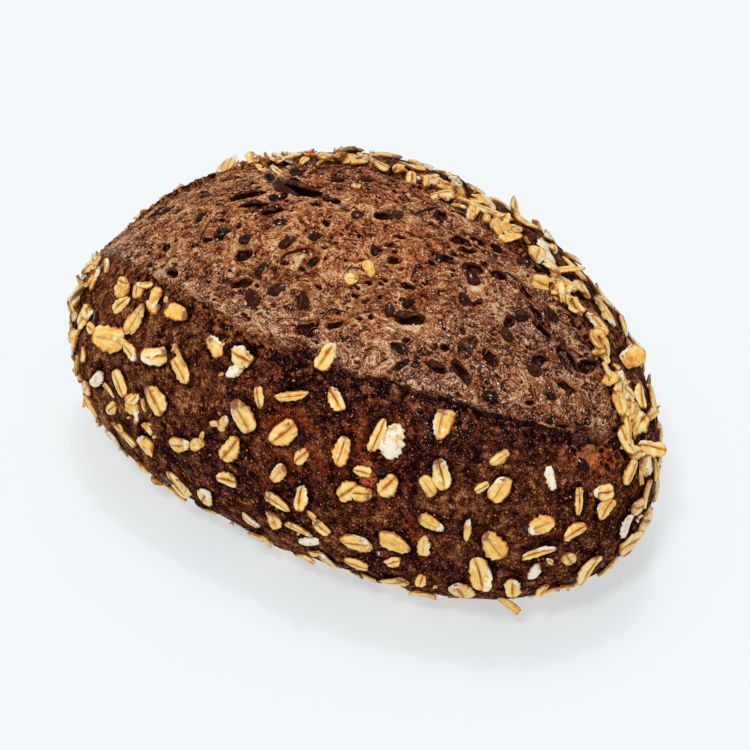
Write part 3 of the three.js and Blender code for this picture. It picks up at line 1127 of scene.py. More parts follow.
def skin_grid():
    """Angles and latitudes of the skin's rows: from the slash's middle out to its rim by shares of
    the way, then down the sides by latitude to where the underside meets the base."""
    turn = np.arange(AROUND) * 2 * math.pi / AROUND
    reach = super_radius(turn, SLASH_POWER)
    rim = np.stack(
        [SLASH_HALF_LENGTH * np.cos(turn) * reach, SLASH_HALF_WIDTH * np.sin(turn) * reach], -1
    )
    shares = [np.full(AROUND, share) for share in INNER_SHARES]
    shares += [1 + step / np.linalg.norm(rim, axis=-1) for step in INNER_STEPS]
    rows = [
        dome_coordinates(SLASH_X + rim[:, 0] * share, SLASH_Y + rim[:, 1] * share)
        for share in shares
    ]
    angle, latitude = dome_coordinates(SLASH_X + rim[:, 0], SLASH_Y + rim[:, 1])
    for row in range(SKIN_ROWS):
        rows.append((angle, latitude * (1 - row / SKIN_ROWS)))
    for row in range(UNDER_ROWS + 1):
        rows.append((angle, np.full(AROUND, -FLAT_LATITUDE * row / UNDER_ROWS)))
    return np.array([row[0] for row in rows]), np.array([row[1] for row in rows])


def skin_finish(colours):
    """Dark baked skin: browns by noises and by its relief, with painted light on raised parts and
    painted shade in hollows, nearly black along the slash, red where it baked red, with specks of
    bran and painted glints, and with painted shade in the pits, under the oats and along the front
    rim. A coat makes the tops of the rough skin glint."""
    make = Finish("skin")
    flow = make.vector("flow")
    tone, burnt, near, warm = make.masks("tone", "burnt", "near", "warm")
    pale, pit_and_rim_shade, under = make.masks("pale", "pit_and_rim_shade", "under")
    broad = make.noise(17, detail=3, rough=0.6)
    patchy = make.noise(3.6, detail=4, rough=0.62, where=flow)
    fine = make.noise(0.8, detail=3, rough=0.7, where=flow)
    grit = make.noise(0.36, detail=1)
    puffs = make.billows(2.4, where=flow)
    small_puffs = make.billows(1.0, where=flow)
    hairs = make.veins(1.6, width=0.04, where=flow) * patchy.above(0.45, 0.6)
    shiny = (burnt + warm + near + (patchy - 0.5) * 2).clamped()

    # Painted light and shade: the tone follows the relief, so that raised parts and the tops of
    # puffs are lighter and hollows and the creases between puffs darker.
    tone = tone.varied((fine, 0.9), (grit, 1.2), (patchy, 1.3), (broad, 0.8))
    tone = tone.varied((puffs, 0.34), (small_puffs, 0.36))
    tone = (tone + hairs * 0.08 + pale * 0.28 - burnt * 0.14 - 0.08).stretched(1.1)
    base = make.ramp(
        tone,
        colours.skin_deep,
        colours.skin_dark,
        colours.skin,
        colours.skin_light,
        colours.skin_glint,
    )
    orange = (make.noise(6, detail=3, rough=0.6) - 0.57).above(0, 0.07) * 0.4
    red = (warm * 1.3 + (patchy - 0.65) * 1.2 + orange * (1 - pale)).clamped()
    base = make.blend(red * tone.above(0.05, 0.5), base, colours.skin_red)
    near = (near + (patchy - 0.5) * 1.2 - 0.35).clamped() * (1 - burnt).clamped()
    crumbly = make.ramp(tone, colours.crumb_deep, colours.crumb_dark, colours.crumb)
    base = make.blend(near * 0.8, base, crumbly)
    rusty = (warm * 2.0 - 1.35).varied((fine, 3), (patchy, 1)).clamped()
    base = make.blend(rusty * 0.95, base, colours.skin_rust)
    amber = make.dots(9, share=0.3, radius=0.15)
    base = make.blend(amber * 0.8, base, colours.amber)
    flecks = make.dots(1.1, share=0.16, radius=0.26) + make.dots(2.0, share=0.25, radius=0.2)
    base = make.blend(flecks.clamped() * (1 - burnt * 0.6) * 0.9, base, colours.bran)
    # Painted glints: tiny light points on the tops of the small puffs, more where the skin is
    # shiny.
    sparks = make.dots(0.55, share=0.4, radius=0.34) * small_puffs.above(0.35, 0.55)
    sparks = sparks * (0.3 + shiny * 0.9).clamped()
    base = make.blend(sparks * 0.85, base, colours.spark)
    # Painted shade: darker in the pits and along a shadow line outside the front rim, and a painted
    # shadow under and round the oats.
    base = make.shaded(base, (1 - pit_and_rim_shade * 0.9) * (1 - under * 0.75))

    relief = fine * 0.6 + grit * 0.4 + amber * 1.5 + puffs * 1.1 + small_puffs * 0.8
    gloss = (shiny * 0.8 + 0.25 + amber).clamped() * (fine * 0.5 + grit * 0.5).above(0.56, 0.61)
    return make.finish(
        Base_Color=base,
        Roughness=0.6,
        Specular_IOR_Level=0.0,
        Coat_Weight=gloss,
        Coat_Roughness=0.2,
        Coat_Tint=SKIN_COAT_TINT,
        Normal=make.bump(relief, distance=0.5),
    )


class LOAF_OT_skin(bpy.types.Operator):
    """Make the loaf's skin, from under the crumb down to the base"""

    bl_idname = "loaf.skin"
    bl_label = "Skin"

    def execute(self, context):
        angle, latitude = skin_grid()
        points, fine, masks = skin_surface(angle, latitude)
        rows = len(points)
        base = points[-1][None] * np.array(BASE_SHARES)[:, None, None]
        base[..., 2] = 0
        top = points[0].mean(0)
        everything = np.concatenate([points.reshape(-1, 3), base.reshape(-1, 3), [top, (0, 0, 0)]])
        faces = closed_faces(rows + len(BASE_SHARES), AROUND)
        # Painted light and shade: lighter where the fine relief stands out, darker in its hollows.
        masks["tone"] = clamp01(0.5 + standing_out(fine, close=0.5, times=20, wide=1.3))
        # A painted shadow under and round the oats.
        masks["under"] = oat_shadow(points)
        masks["warm"] = self.warmth(points)
        masks["pale"] = self.paleness(points)
        spare = np.zeros(len(everything) - rows * AROUND)
        masks = {key: np.concatenate([value.ravel(), spare]) for key, value in masks.items()}
        plain = loaf_point(angle, latitude).reshape(-1, 3)
        flow = swirled(plain, seed=131, sway=2, least=0.9, even_from=300)
        flow = np.concatenate([flow, np.zeros((len(spare), 3))]) * MM
        material = skin_finish(context.scene.loaf_colours)
        piece = new_piece("skin", everything, faces, material, masks, {"flow": flow})
        return {"FINISHED"}

    @staticmethod
    def warmth(points):
        """Where the skin baked red: soft spots broken up by noise."""
        uneven = clamp01(0.6 + 0.9 * layered(points, 6, seed=61, layers=2))
        near = np.zeros(points.shape[:-1])
        for x, y, z, size, strength in RED_SPOTS:
            near += strength * bell(np.linalg.norm(points - np.array([x, y, z]), axis=-1), size)
        return clamp01(near * uneven)

    @staticmethod
    def paleness(points):
        """The skin is duller and lighter low down and at the ends, most at the -X end."""
        x, z = points[..., 0], points[..., 2]
        low, left, right = rising(z, 45, 0), rising(x, 0, -65), rising(x, 50, 75)
        return clamp01(0.08 * low + 0.75 * left + 0.35 * right)


def oat_shadow(points):
    """Painted shadow of the oats on the skin: 1 under them and close round them, and 0 elsewhere.
    """
    shade = np.zeros(points.shape[:-1])
    angle, latitude, heading, length, roundness = OATS.T[:5]
    axes = surface_axes(angle, latitude, heading)
    centres = loaf_point(angle, latitude)
    for centre, (along, across, _), half, share in zip(centres, axes, length / 2, roundness):
        close = np.abs(points - centre).max(-1) < 8
        offset = points[close] - centre
        away = np.hypot(offset @ along / (half + 0.7), offset @ across / (half * share + 0.7))
        shade[close] = np.maximum(shade[close], rising(away, 1.2, 0.95))
    return shade


# ---------------------------------------------------------------- crumb
STATIONS = 496
UPPER_ROWS = 176
LOWER_ROWS = 7
CRUMB_THICKNESS = 7.5
# Share of the stations' spacing that follows a sine, which packs them towards the ends.
END_PACKING = 0.35


def crumb_finish(colours):
    """Opened crumb: golden and purple browns by noises and by its relief, with painted light on its
    raised parts and painted shade in its hollows; the purple partly stands for a painted sheen. A
    fine net of lighter walls with dark pinholes painted as shade, painted glints, rusty spots and
    torn edges with a painted glow, red-brown openings painted dark inside as shade, and a burnt
    front rim. A coat makes its raised parts glint."""
    make = Finish("crumb")
    flow = make.vector("flow")
    tone, hole, edge, dark, rust = make.masks("tone", "hole", "edge", "dark", "rust")
    burnt, near, moist, golden = make.masks("burnt", "near", "moist", "golden")
    broad = make.noise(12, detail=3, rough=0.6)
    patchy = make.noise(2.6, detail=3, rough=0.6, where=flow)
    fine = make.noise(0.7, detail=3, rough=0.7, where=flow)
    grit = make.noise(0.38, detail=1)
    puffs = make.billows(2.2, where=flow)
    small_puffs = make.billows(0.9, where=flow)
    moist = (moist + (broad - 0.5)).clamped()
    bent = make.warped(amount=0.9, size=0.5)
    walls = make.cells(WALL_SIZE, where=bent, feature="DISTANCE_TO_EDGE").above(0.16, 0.02)
    number = make.node("SeparateColor", 0, Color=make.cells(WALL_SIZE, "Color", bent))
    holes = number.above(0.74, 0.8) * make.cells(WALL_SIZE, where=bent).above(0.5, 0.3)
    specks = make.dots(0.5, share=0.25, radius=0.34) + make.dots(0.85, share=0.22, radius=0.36)
    specks = (specks + make.dots(0.6, share=0.8, radius=0.36) * moist).clamped()
    pinholes = make.dots(0.62, share=0.2, radius=0.33)
    net = patchy.above(0.4, 0.6)
    strands = make.veins(1.5, width=0.05, where=flow) * (broad * 2.4 - 0.7).clamped()
    tears = make.veins(3.0, width=0.035, where=flow) * patchy.above(0.6, 0.45)

    # Painted light and shade: the tone follows the relief, lighter on raised walls, strands and the
    # tops of puffs, darker in tears, holes, pinholes and the creases between puffs, at the feet of
    # torn sheets and in small bubbles.
    tone = tone.varied((fine, 0.85), (grit, 1.0), (patchy, 0.6), (broad, 0.8))
    tone = tone.varied((puffs, 0.16 + moist * 0.2), (small_puffs, 0.12 + moist * 0.12))
    tone = tone + walls * net * 0.16 + strands * 0.13 - tears * 0.22
    tone = tone - holes * (0.1 + net * 0.2) - pinholes * 0.2
    tone = tone - burnt * 0.25 - dark * 0.22 + moist * 0.045 - near * 0.06 + 0.065
    tone = tone.stretched(1.12 + moist * 0.25)
    gold = make.ramp(
        tone,
        colours.crumb_deep,
        colours.crumb_dark,
        colours.crumb,
        colours.crumb_light,
        colours.crumb_pale,
    )
    # Purple browns, standing partly for a painted mauve sheen.
    purple = make.ramp(
        tone,
        colours.skin_deep,
        colours.purple_dark,
        colours.purple,
        colours.purple_light,
        colours.crumb_pale,
    )
    hue = (golden * 0.5 + 0.1).varied((broad, 1.8), (patchy, 1.2)).clamped()
    base = make.blend(hue, purple, gold)
    amber = (make.noise(4.5, detail=3, rough=0.6) - 0.52).above(0, 0.1) * moist
    base = make.blend(amber * (0.9 - tone * 0.6), base, colours.amber)
    orange = (make.noise(5, detail=3, rough=0.6) - 0.57).above(0, 0.08) * (1 - golden * 0.8)
    # Rusty spots and orange patches, and a painted glow on torn edges where light would shine
    # through.
    rusty = (edge * 0.8 * patchy.above(0.4, 0.6) + rust + orange * 0.35).clamped()
    lit = (fine - 0.4 + (patchy - 0.5)).above(0, 0.3) * rust
    glow = make.blend(lit, colours.crumb_rust_and_glow, colours.crumb_pale)
    base = make.blend(rusty * tone.above(0.1, 0.5), base, glow)
    # Painted glints: light points on the crumb outside the openings, which also stand for starch
    # grains.
    glints = specks * (1 - hole) * tone.above(0.1, 0.4)
    base = make.blend(glints * 0.95, base, colours.crumb_glint)
    skin = make.ramp(tone, colours.skin_deep, colours.skin_dark, colours.skin, colours.skin_light)
    crust = ((burnt + near * 0.35) * 1.1 + (patchy - 0.5) - 0.15).clamped()
    base = make.blend(crust, base, skin)
    # Painted shade: the openings' insides are a dark, wet red-brown.
    wet_and_shade = make.ramp((fine * 1.6 - 0.35).clamped(), colours.crumb_deep, colours.wet_and_shade)
    base = make.blend(hole * 0.95, base, wet_and_shade)

    relief = fine * 0.6 + walls * 0.3 - holes * 0.6 + specks * 0.3 + strands * 0.3 - tears * 0.6
    relief = relief + (puffs + small_puffs * 0.6) * (0.4 + moist)
    shine = (fine.above(0.58, 0.66) + moist * grit.above(0.54, 0.6)) * (1 - burnt * 0.7)
    gloss = (0.8 + moist * 0.6 + edge * 0.4) * shine * (1 - holes)
    gloss = (gloss + hole * fine.above(0.5, 0.6) * 0.6).clamped()
    return make.finish(
        Base_Color=base,
        Roughness=0.6,
        Specular_IOR_Level=0.0,
        Subsurface_Weight=0.08,
        Subsurface_Radius=(1, 0.4, 0.15),
        Subsurface_Scale=0.8 * MM,
        Coat_Weight=gloss,
        Coat_Roughness=0.22,
        Coat_Tint=CRUMB_COAT_TINT,
        Normal=make.bump(relief, distance=0.35),
    )


class LOAF_OT_crumb(bpy.types.Operator):
    """Make the opened crumb of the slash, a closed lens that lies in the skin's opening"""

    bl_idname = "loaf.crumb"
    bl_label = "Crumb"

    def execute(self, context):
        even = np.linspace(-1, 1, STATIONS + 2)[1:-1]
        along = END_PACKING * np.sin(math.pi / 2 * even) + (1 - END_PACKING) * even
        half = (1 - np.abs(along) ** SLASH_POWER) ** (1 / SLASH_POWER)
        half = half[:, None] * (SLASH_HALF_WIDTH + CRUMB_REACH)
        x = (SLASH_X + along * (SLASH_HALF_LENGTH + CRUMB_REACH))[:, None]
        y = SLASH_Y + half * np.linspace(-1, 1, UPPER_ROWS)
        upper, fine, masks = crumb_surface(np.broadcast_to(x, y.shape), y)
        under_y = SLASH_Y + half * np.linspace(1, -1, LOWER_ROWS + 2)[1:-1]
        under_x = np.broadcast_to(x, under_y.shape)
        under = loaf_point(*dome_coordinates(under_x, under_y))
        under = under - dome_normal(under_x, under_y) * CRUMB_THICKNESS
        rings = np.concatenate([upper, under], 1)
        ends = np.array([rings[0].mean(0), rings[-1].mean(0)])
        everything = np.concatenate([rings.reshape(-1, 3), ends])
        faces = closed_faces(*rings.shape[:2])
        # Painted light and shade: lighter where the fine relief stands out, darker in its hollows.
        masks["tone"] = clamp01(0.5 + 0.6 * standing_out(fine, close=0.8, times=24, wide=1.8))
        spare = np.zeros((STATIONS, LOWER_ROWS))
        masks = {
            key: np.concatenate([np.concatenate([value, spare], 1).ravel(), [0, 0]])
            for key, value in masks.items()
        }
        plain = loaf_point(*dome_coordinates(rings[..., 0], rings[..., 1]))
        flow = swirled(plain, seed=71, sway=5, least=0.5, even_from=35)
        flow = np.concatenate([flow.reshape(-1, 3), ends]) * MM
        material = crumb_finish(context.scene.loaf_colours)
        piece = new_piece("crumb", everything, faces, material, masks, {"flow": flow})
        return {"FINISHED"}


# ---------------------------------------------------------------- torn films
FILM_SEED = 95
FILM_STATIONS = 11
LOOSE_FILMS = 210
LOWEST_FILM = 0.45
# Films taller than this are darker.
TALL_FILM = 1.25
# How many times as far out as its opening's edge a film stands.
FILM_SPREAD = 1.06
# First degrees of the films along the front rim.
FRONT_FILMS = range(-66, -8, 5)
# Round a film's section: how far in towards the opening's middle and how far up, in its heights,
# and what is added to both in millimetres.
FILM_SECTION = np.array(
    [(-0.3, -0.5), (0.25, -0.5), (0.16, 0.45), (0.5, 0.82), (0.95, 0.8), (0.45, 1.0), (0.02, 0.62)]
)
FILM_ADDED = np.array(
    [(-0.12, -0.3), (0.1, -0.3), (0.08, 0), (0.05, -0.05), (0.02, -0.04), (-0.04, 0.05), (-0.07, 0)]
)
# How far up the film each of those points is, for its colour, and its two poles: a painted glow
# towards the edge and a little painted shade low down.
FILM_RISE = np.array([0, 0, 0.4, 0.75, 1, 0.95, 0.55])
POLE_RISE = 0.5


def film_arcs(rng):
    """Arcs that films stand on: the far side of each wide opening, then loose ones, then some along
    the front rim. Each has a centre, two half widths, a turn, a first and a last angle, and a
    height."""
    arcs = []
    for x, y, half, across_half, _, turn, height in HOLES:
        if height < LOWEST_FILM:
            continue
        far = FAR_SIDE - turn
        middle = math.atan2(across_half * math.sin(far), half * math.cos(far))
        middle += rng.normal(0, 0.3)
        span = rng.uniform(1.1, 1.9)
        halves = (half * FILM_SPREAD, across_half * FILM_SPREAD)
        arcs.append((x, y, *halves, turn, middle - span, middle + span, height))
    for _ in range(LOOSE_FILMS):
        x, y = inside_slash(rng, 0.93)
        half = (0.7 + 4 * rng.random() ** 1.6) * (0.7 + 0.5 * rising(x, -20, 30))
        turn = rng.normal(0.5, 0.6)
        middle = FAR_SIDE - turn + rng.normal(0, 0.9)
        span = rng.uniform(0.5, 1.6)
        height = rng.uniform(0.25, 0.75)
        halves = (half, half * rng.uniform(0.4, 1))
        arcs.append((x, y, *halves, turn, middle - span, middle + span, height))
    for degrees in FRONT_FILMS:
        reach = rng.uniform(0.975, 1.0)
        first = math.radians(degrees + rng.uniform(-2, 0))
        last = first + math.radians(rng.uniform(5, 9))
        halves = (SLASH_HALF_LENGTH * reach, SLASH_HALF_WIDTH * reach)
        arcs.append((SLASH_X, SLASH_Y, *halves, 0, first, last, rng.uniform(0.6, 1.3)))
    return np.array(arcs)


def film_shapes(arcs, rng):
    """Thin torn films, all at once: each follows an arc of an ellipse, and its section leans in
    over the opening. Its height is the arc's times sin(pi t)^0.6 and a wave, and it is never
    thinner than 0.12 mm."""
    x, y, half, across_half, turn, first, last, height = (column[:, None] for column in arcs.T)
    t = np.linspace(0, 1, FILM_STATIONS)[None]
    around = first + (last - first) * t
    uneven = 1 + 0.8 / (4 + half) * np.sin(4 * around + rng.uniform(0, 6.3, x.shape))
    u, v = half * uneven * np.cos(around), across_half * uneven * np.sin(around)
    u, v = turned(u, v, -turn)
    at_x, at_y = x + u, y + v
    at_x = np.clip(at_x, SLASH_X - SLASH_HALF_LENGTH + 3, SLASH_X + SLASH_HALF_LENGTH - 3)
    foot = loaf_point(*dome_coordinates(at_x, at_y))
    normal = dome_normal(at_x, at_y)
    inward = -np.stack(turned(np.cos(around) / half, np.sin(around) / across_half, -turn), -1)
    inward = np.concatenate([inward, np.zeros_like(inward[..., :1])], -1)
    inward = unit(inward - normal * np.sum(inward * normal, -1, keepdims=True))
    outside_x, outside_y = at_x - 0.5 * inward[..., 0], at_y - 0.5 * inward[..., 1]
    level = crumb_relief(outside_x, outside_y)[0]
    foot = foot + normal * np.minimum(level, 3)[..., None]
    wave = 1 + 0.4 * np.sin(rng.uniform(3, 12, x.shape) * t + rng.uniform(0, 6.3, x.shape))
    tall = height * np.sin(math.pi * (0.03 + 0.94 * t)) ** 0.6 * wave
    lean = rng.uniform(0.5, 1.4, x.shape)
    section_in = FILM_SECTION[:, 0] * (tall * lean)[..., None] + FILM_ADDED[:, 0]
    section_up = FILM_SECTION[:, 1] * tall[..., None] + FILM_ADDED[:, 1]
    points = (
        foot[:, :, None]
        + inward[:, :, None] * section_in[..., None]
        + normal[:, :, None] * section_up[..., None]
    )
    return points, np.broadcast_to(FILM_RISE, points.shape[:3])


def film_finish(colours):
    """Wet brown film, a little darker low down as painted shade, and lighter and more orange
    towards its edge as a painted glow where light shines through.
    """
    make = Finish("film")
    rise, number = make.mask("rise"), make.mask("number")
    patchy = make.noise(2.4, detail=3, rough=0.6)
    fine = make.noise(0.6, detail=3, rough=0.7)
    body = make.blend(number.above(0.3, 0.8), colours.skin_dark, colours.film)
    base = make.blend((fine * 1.6 - 0.3 - rise * 0.2).clamped() * 0.7, body, colours.skin_deep)
    base = make.blend((fine - 0.5).above(0.05, 0.2) * 0.4, base, colours.purple)
    # A painted glow: the film is lighter and more orange towards its edge.
    share = (rise * 3 - 2.6 + (patchy - 0.5) * 1.6 + (number - 0.5) * 0.9).clamped()
    base = make.blend(share * 0.85, base, colours.film_edge_glow)
    return make.finish(
        Base_Color=base,
        Roughness=0.5,
        Specular_IOR_Level=0.03,
        Coat_Weight=fine.above(0.47, 0.6),
        Coat_Roughness=0.22,
        Normal=make.bump(fine, distance=0.3, strength=0.8),
    )


class LOAF_OT_films(bpy.types.Operator):
    """Make the thin torn films that stand round the crumb's openings"""

    bl_idname = "loaf.films"
    bl_label = "Torn films"

    def execute(self, context):
        rng = np.random.default_rng(FILM_SEED)
        arcs = film_arcs(rng)
        points, rise = film_shapes(arcs, rng)
        number = np.where(arcs[:, -1] > TALL_FILM, 0.3, 1) * rng.random(len(arcs))
        masks = {
            "rise": np.concatenate([rise.ravel(), np.full(2 * len(arcs), POLE_RISE)]),
            "number": for_shells(number, rise[0].size),
        }
        faces = shell_faces(*rise.shape)
        material = film_finish(context.scene.loaf_colours)
        piece = new_piece("films", with_poles(points), faces, material, masks)
        return {"FINISHED"}


# ---------------------------------------------------------------- oats
# Places across a flake, from one edge to the other over the top and then back below, and how many
# stations there are along it: for whole oats and for small bits.
WHOLE = (13, (-1, -0.86, -0.5, -0.12, 0.12, 0.5, 0.86, 1), (0.6, -0.6))
BIT = (7, (-1, -0.6, 0, 0.6, 1), (0.5, -0.5))
# A flake more ragged than this is torn through, and its edge is bitten all round.
TORN_THROUGH = 0.48
# How deep the teeth of a torn edge are by turns, and the deepest, in half widths.
TEETH = (0.35, 1.3)
DEEPEST_TOOTH = 0.45
# How much deeper a flake lies than the solid's plain ones.
FLAKE_SINK = 0.35


def flake_shapes(length, roundness, thickness, ragged, rng, detail):
    """Rolled oats as closed shells, all at once, on arrays of flake, station along and point round.

    Along a flake, u runs from -1 to 1 and its half width is (1 - |u|^2.5)^0.47, a little wider at
    one end. Across, v runs from -1 to 1: the upper face is a low dome with two lobes, and thins to
    the edge. Draws at each station cut teeth into the edge, in a drawn direction, or all round a
    flake that is torn through. The whole is bent along and across and twisted. The last array
    returned is 1 where it is torn."""
    stations, over, below = detail
    count = len(length)
    half, roundness, ragged = (each[:, None, None] for each in (length / 2, roundness, ragged))

    def draw(low, high):
        return rng.uniform(low, high, (count, 1, 1))

    even = np.linspace(-1, 1, stations + 2)[1:-1]
    along = np.sin(math.pi / 2 * even * 0.98)[None, :, None]
    v = -np.concatenate([over, below])[None, None]
    upper = (np.arange(v.size) < len(over))[None, None]
    outline = (1 - np.abs(along) ** 2.5) ** 0.47 * (1 + draw(-0.14, 0.14) * along)
    u = along * np.ones((count, 1, v.size))
    v = v * np.ones_like(u)
    round_turn = np.arctan2(v * outline, u)
    wavy = sum(
        strength * np.sin(waves * round_turn + draw(0, 2 * math.pi))
        for waves, strength in ((2, 0.05), (3, 0.05), (5, 0.03))
    )
    turn = draw(-math.pi, math.pi)
    facing = u * np.cos(turn) + v * outline * np.sin(turn)
    facing = facing - np.where(ragged > TORN_THROUGH, -2, 0.3)
    notch = rng.random((count, stations, 2)) * np.resize(TEETH, stations)[:, None]
    notch = np.where(v > 0, notch[..., :1], notch[..., 1:])
    rim = rising(np.abs(v), 0.5, 0.86)
    tooth = np.minimum(1.3 * ragged * notch * smooth(facing / 0.3), DEEPEST_TOOTH) * rim
    size = 1 + wavy * np.hypot(u, v * outline) ** 2
    x = half * u * size * (1 - 0.4 * tooth * np.abs(u))
    y = half * roundness * outline * v * size * (1 - tooth + 0.2 * (notch - 0.5) * rim)
    lobes = (1 - np.abs(v) ** 4) * (1 - np.abs(u) ** 5)
    middle = draw(-0.1, 0.1) + draw(-0.12, 0.12) * u + draw(-0.1, 0.1) * u**2
    crease = 0.2 * bell(v - middle, 0.3) * (1 - u**4)
    top = thickness * (0.3 + draw(0.35, 0.6) * (lobes - crease))
    z = np.where(upper, top, -0.25 * thickness)
    z = z + draw(-0.5, 0.8) * u**2 + draw(-0.6, 0.3) * v**2 + draw(-0.5, 0.5) * u * v
    z = z + ragged * smooth(facing / 0.4) * (notch - 0.4) * np.abs(v) ** 4 * 1.5
    torn = smooth((facing - 0.05) / 0.5) * clamp01(ragged * 5)
    return np.stack([x, y, z], -1), u, v - middle, torn


def laid_flakes(spots, thickness, ragged, seed, detail):
    """Flakes turned and moved to their places on the solid: leant about their length, tilted about
    their width, then set on the surface. Returns the points, their places in the flake with a
    number of it, and where it is torn."""
    rng = np.random.default_rng(seed)
    angle, latitude, heading, length, roundness, lean, tilt = spots.T
    shape, u, v, torn = flake_shapes(length, roundness, thickness, ragged, rng, detail)
    x, y, z = shape[..., 0], shape[..., 1], shape[..., 2]
    y, z = turned(y, z, -lean[:, None, None])
    x, z = turned(x, z, tilt[:, None, None])
    axes = surface_axes(angle, latitude, heading)
    rise = STANDING_LIFT * length / 2 * math.sin(STANDING_TILT)
    lift = OAT_LIFT - FLAKE_SINK + np.where(tilt == STANDING_TILT, rise, 0)
    origin = solid_point(angle, latitude) + axes[:, 2] * lift[:, None]
    points = np.einsum("nspi,nij->nspj", np.stack([x, y, z], -1), axes)
    points = points + origin[:, None, None]
    points[..., 2] = np.maximum(points[..., 2], 0)
    number = np.broadcast_to(rng.random(len(length))[:, None, None], u.shape)
    return points, np.stack([u, v, number], -1), torn


def oat_finish(name, colours):
    """Toasted oat: golden with a paler middle, faint streaks along its length, a soft brown crease
    and germ end, and white flour where it is torn."""
    make = Finish(name)
    flake = make.vector("flake")
    along, across, number = (make.node("SeparateXYZ", axis, Vector=flake) for axis in range(3))
    torn = make.mask("torn")
    flat = make.node("CombineXYZ", X=along * 0.9, Y=across * 5, Z=number * 40)
    streaks = make.node("TexNoise", "Fac", Vector=flat, Scale=1.6, Detail=2.0)
    mottle = make.noise(2.2, detail=2, rough=0.5)
    other = (number * 7.31).math("FRACT")
    edge = abs(across).math("MAXIMUM", abs(along)).above(0.8, 1.0)
    line = abs(across + (mottle - 0.5) * 0.2)
    tone = (0.68 - edge * 0.8).varied((mottle, 1.5), (streaks, 0.9), (other, 0.4))
    tone = tone - line.above(0.45, 0.05) * other.above(0.3, 0.55) * 0.5
    base = make.ramp(tone.clamped(), colours.oat_toasted, colours.oat, colours.oat_light)
    inner = abs(along).above(0.95, 0.6)
    crease = line.above(0.18, 0.06) * inner * other.above(0.1, 0.3)
    crease = crease * (streaks * 2.5 - 0.55 + (other - 0.5) * along).clamped()
    base = make.blend(crease, base, colours.oat_crease)
    germ = (along + (mottle - 0.5) * 0.9 + abs(across) * 0.3).above(0.35, 0.8)
    germ = germ * number.above(0.35, 0.5) * mottle.above(0.46, 0.58)
    base = make.blend(germ * 0.85, base, colours.oat_germ)
    crumbled = torn * 1.3 + edge * 0.25 + (make.noise(0.9, detail=2, rough=0.6) - 0.5) * 2.4 - 0.45
    crumbled = crumbled.above(0.1, 0.35) * torn.above(0, 0.15)
    cracks = make.veins(1.6, width=0.03) * (mottle - 0.5).above(0, 0.05)
    golden = (cracks + (mottle - 0.56).above(0, 0.06) * 0.7).clamped()
    base = make.blend(crumbled, base, make.blend(golden, colours.oat_flour, colours.oat))
    relief = streaks * 0.5 + make.noise(0.4, detail=2, rough=0.5) * 0.4 - cracks * torn
    relief = relief - line.above(0.13, 0.0) * inner * 0.06
    return make.finish(
        Base_Color=base,
        Roughness=0.45,
        Specular_IOR_Level=0.15,
        Subsurface_Weight=0.1,
        Subsurface_Radius=(1, 0.6, 0.3),
        Subsurface_Scale=0.6 * MM,
        Coat_Weight=make.noise(1.4, detail=2, rough=0.6).above(0.55, 0.62) * 0.8,
        Coat_Roughness=0.2,
        Normal=make.bump(relief, distance=0.22, strength=0.9),
    )


def flake_piece(name, spots, thickness, ragged, material, detail=WHOLE):
    """Makes one joined mesh of flakes."""
    points, places, torn = laid_flakes(spots, thickness, ragged, SHAPE_SEEDS[name], detail)
    piece = new_piece(
        name,
        with_poles(points),
        shell_faces(*torn.shape),
        material,
        {"torn": with_poles(torn)},
        {"flake": with_poles(places)},
    )


# Oats that the photo shows in the slash and torn white on the front: angle, latitude, heading from
# level, length, roundness, tilt and how ragged.
NAMED_OATS = np.array(
    [
        (-65, 70.5, -57, 5.8, 0.62, 0.15, 0),
        (-74, 65.7, 10, 4.6, 0.85, 0.1, 0.35),
        (130, 76.5, -91, 5.6, 0.55, 0.25, 0),
        (156.8, 51, 91, 6.8, 0.4, 0.3, 0.1),
        (157.4, 57, 95, 6.5, 0.35, 0.4, 0.2),
        (-59.1, 29.2, 80, 11.0, 0.85, 0.1, 0.6),
        (-76.4, 44.5, 70, 8.6, 0.75, 0.1, 0.4),
        (-97.6, 32.4, 60, 5.6, 0.8, 0.2, 0.6),
        (-47.8, 35.8, 75, 9.4, 0.7, 0.2, 0.47),
        (-28.5, 22.8, 80, 8.4, 0.45, 0.3, 0.6),
        (-0.5, 11.8, 60, 9.0, 0.7, 0.1, 0.5),
        (-75.4, -9.8, 20, 7.5, 0.6, 0.3, 0.6),
    ]
)


FLAKE_SEED = 70
SHAPE_SEEDS = {"oats": 71, "oat_bits": 72, "rim_oats": 73}
# Share of the solid's oats that show as narrow halves.
SPLIT_SHARE = 0.12
# Share of the flakes with a ragged edge and the most ragged of them, for the solid's own oats and
# for the others.
OWN_RAGGED = (0.55, 0.53)
OTHERS_RAGGED = (0.6, 0.5)
BIT_THINNESS = 0.8
BIT_RIM_GAP = 1.5
# What the -X end adds to the bits' crowding.
BITS_AT_END = 3
# The rim's oats: degrees round the slash, and how far out from its rim.
RIM_OATS_TURN = (16, 128)
RIM_OATS_OUT = (-1, 8)
END_OATS_ANGLE = math.pi + 0.15
END_OATS_SPREAD = 0.55
END_OATS_LATITUDE = (-0.6, 0.85)
END_OATS_RIM_GAP = 3
MORE_OATS_GAP = 7.4
MORE_OATS_LATITUDE = 0.9


def raggedness(count, share, most, rng):
    """How ragged the edges of a share of flakes are, from 0.1 to most, and 0 for the others."""
    return np.where(rng.random(count) < share, rng.uniform(0.1, most, count), 0)


def oat_rows(angle, latitude, length, roundness, rng, unevenness):
    """Rows as in OATS, with drawn leans and tilts and then a drawn heading."""
    tilts = rng.normal(0, unevenness, (2, len(angle)))
    heading = rng.uniform(0, math.pi, len(angle))
    return np.stack([angle, latitude, heading, length, roundness, *tilts], -1)


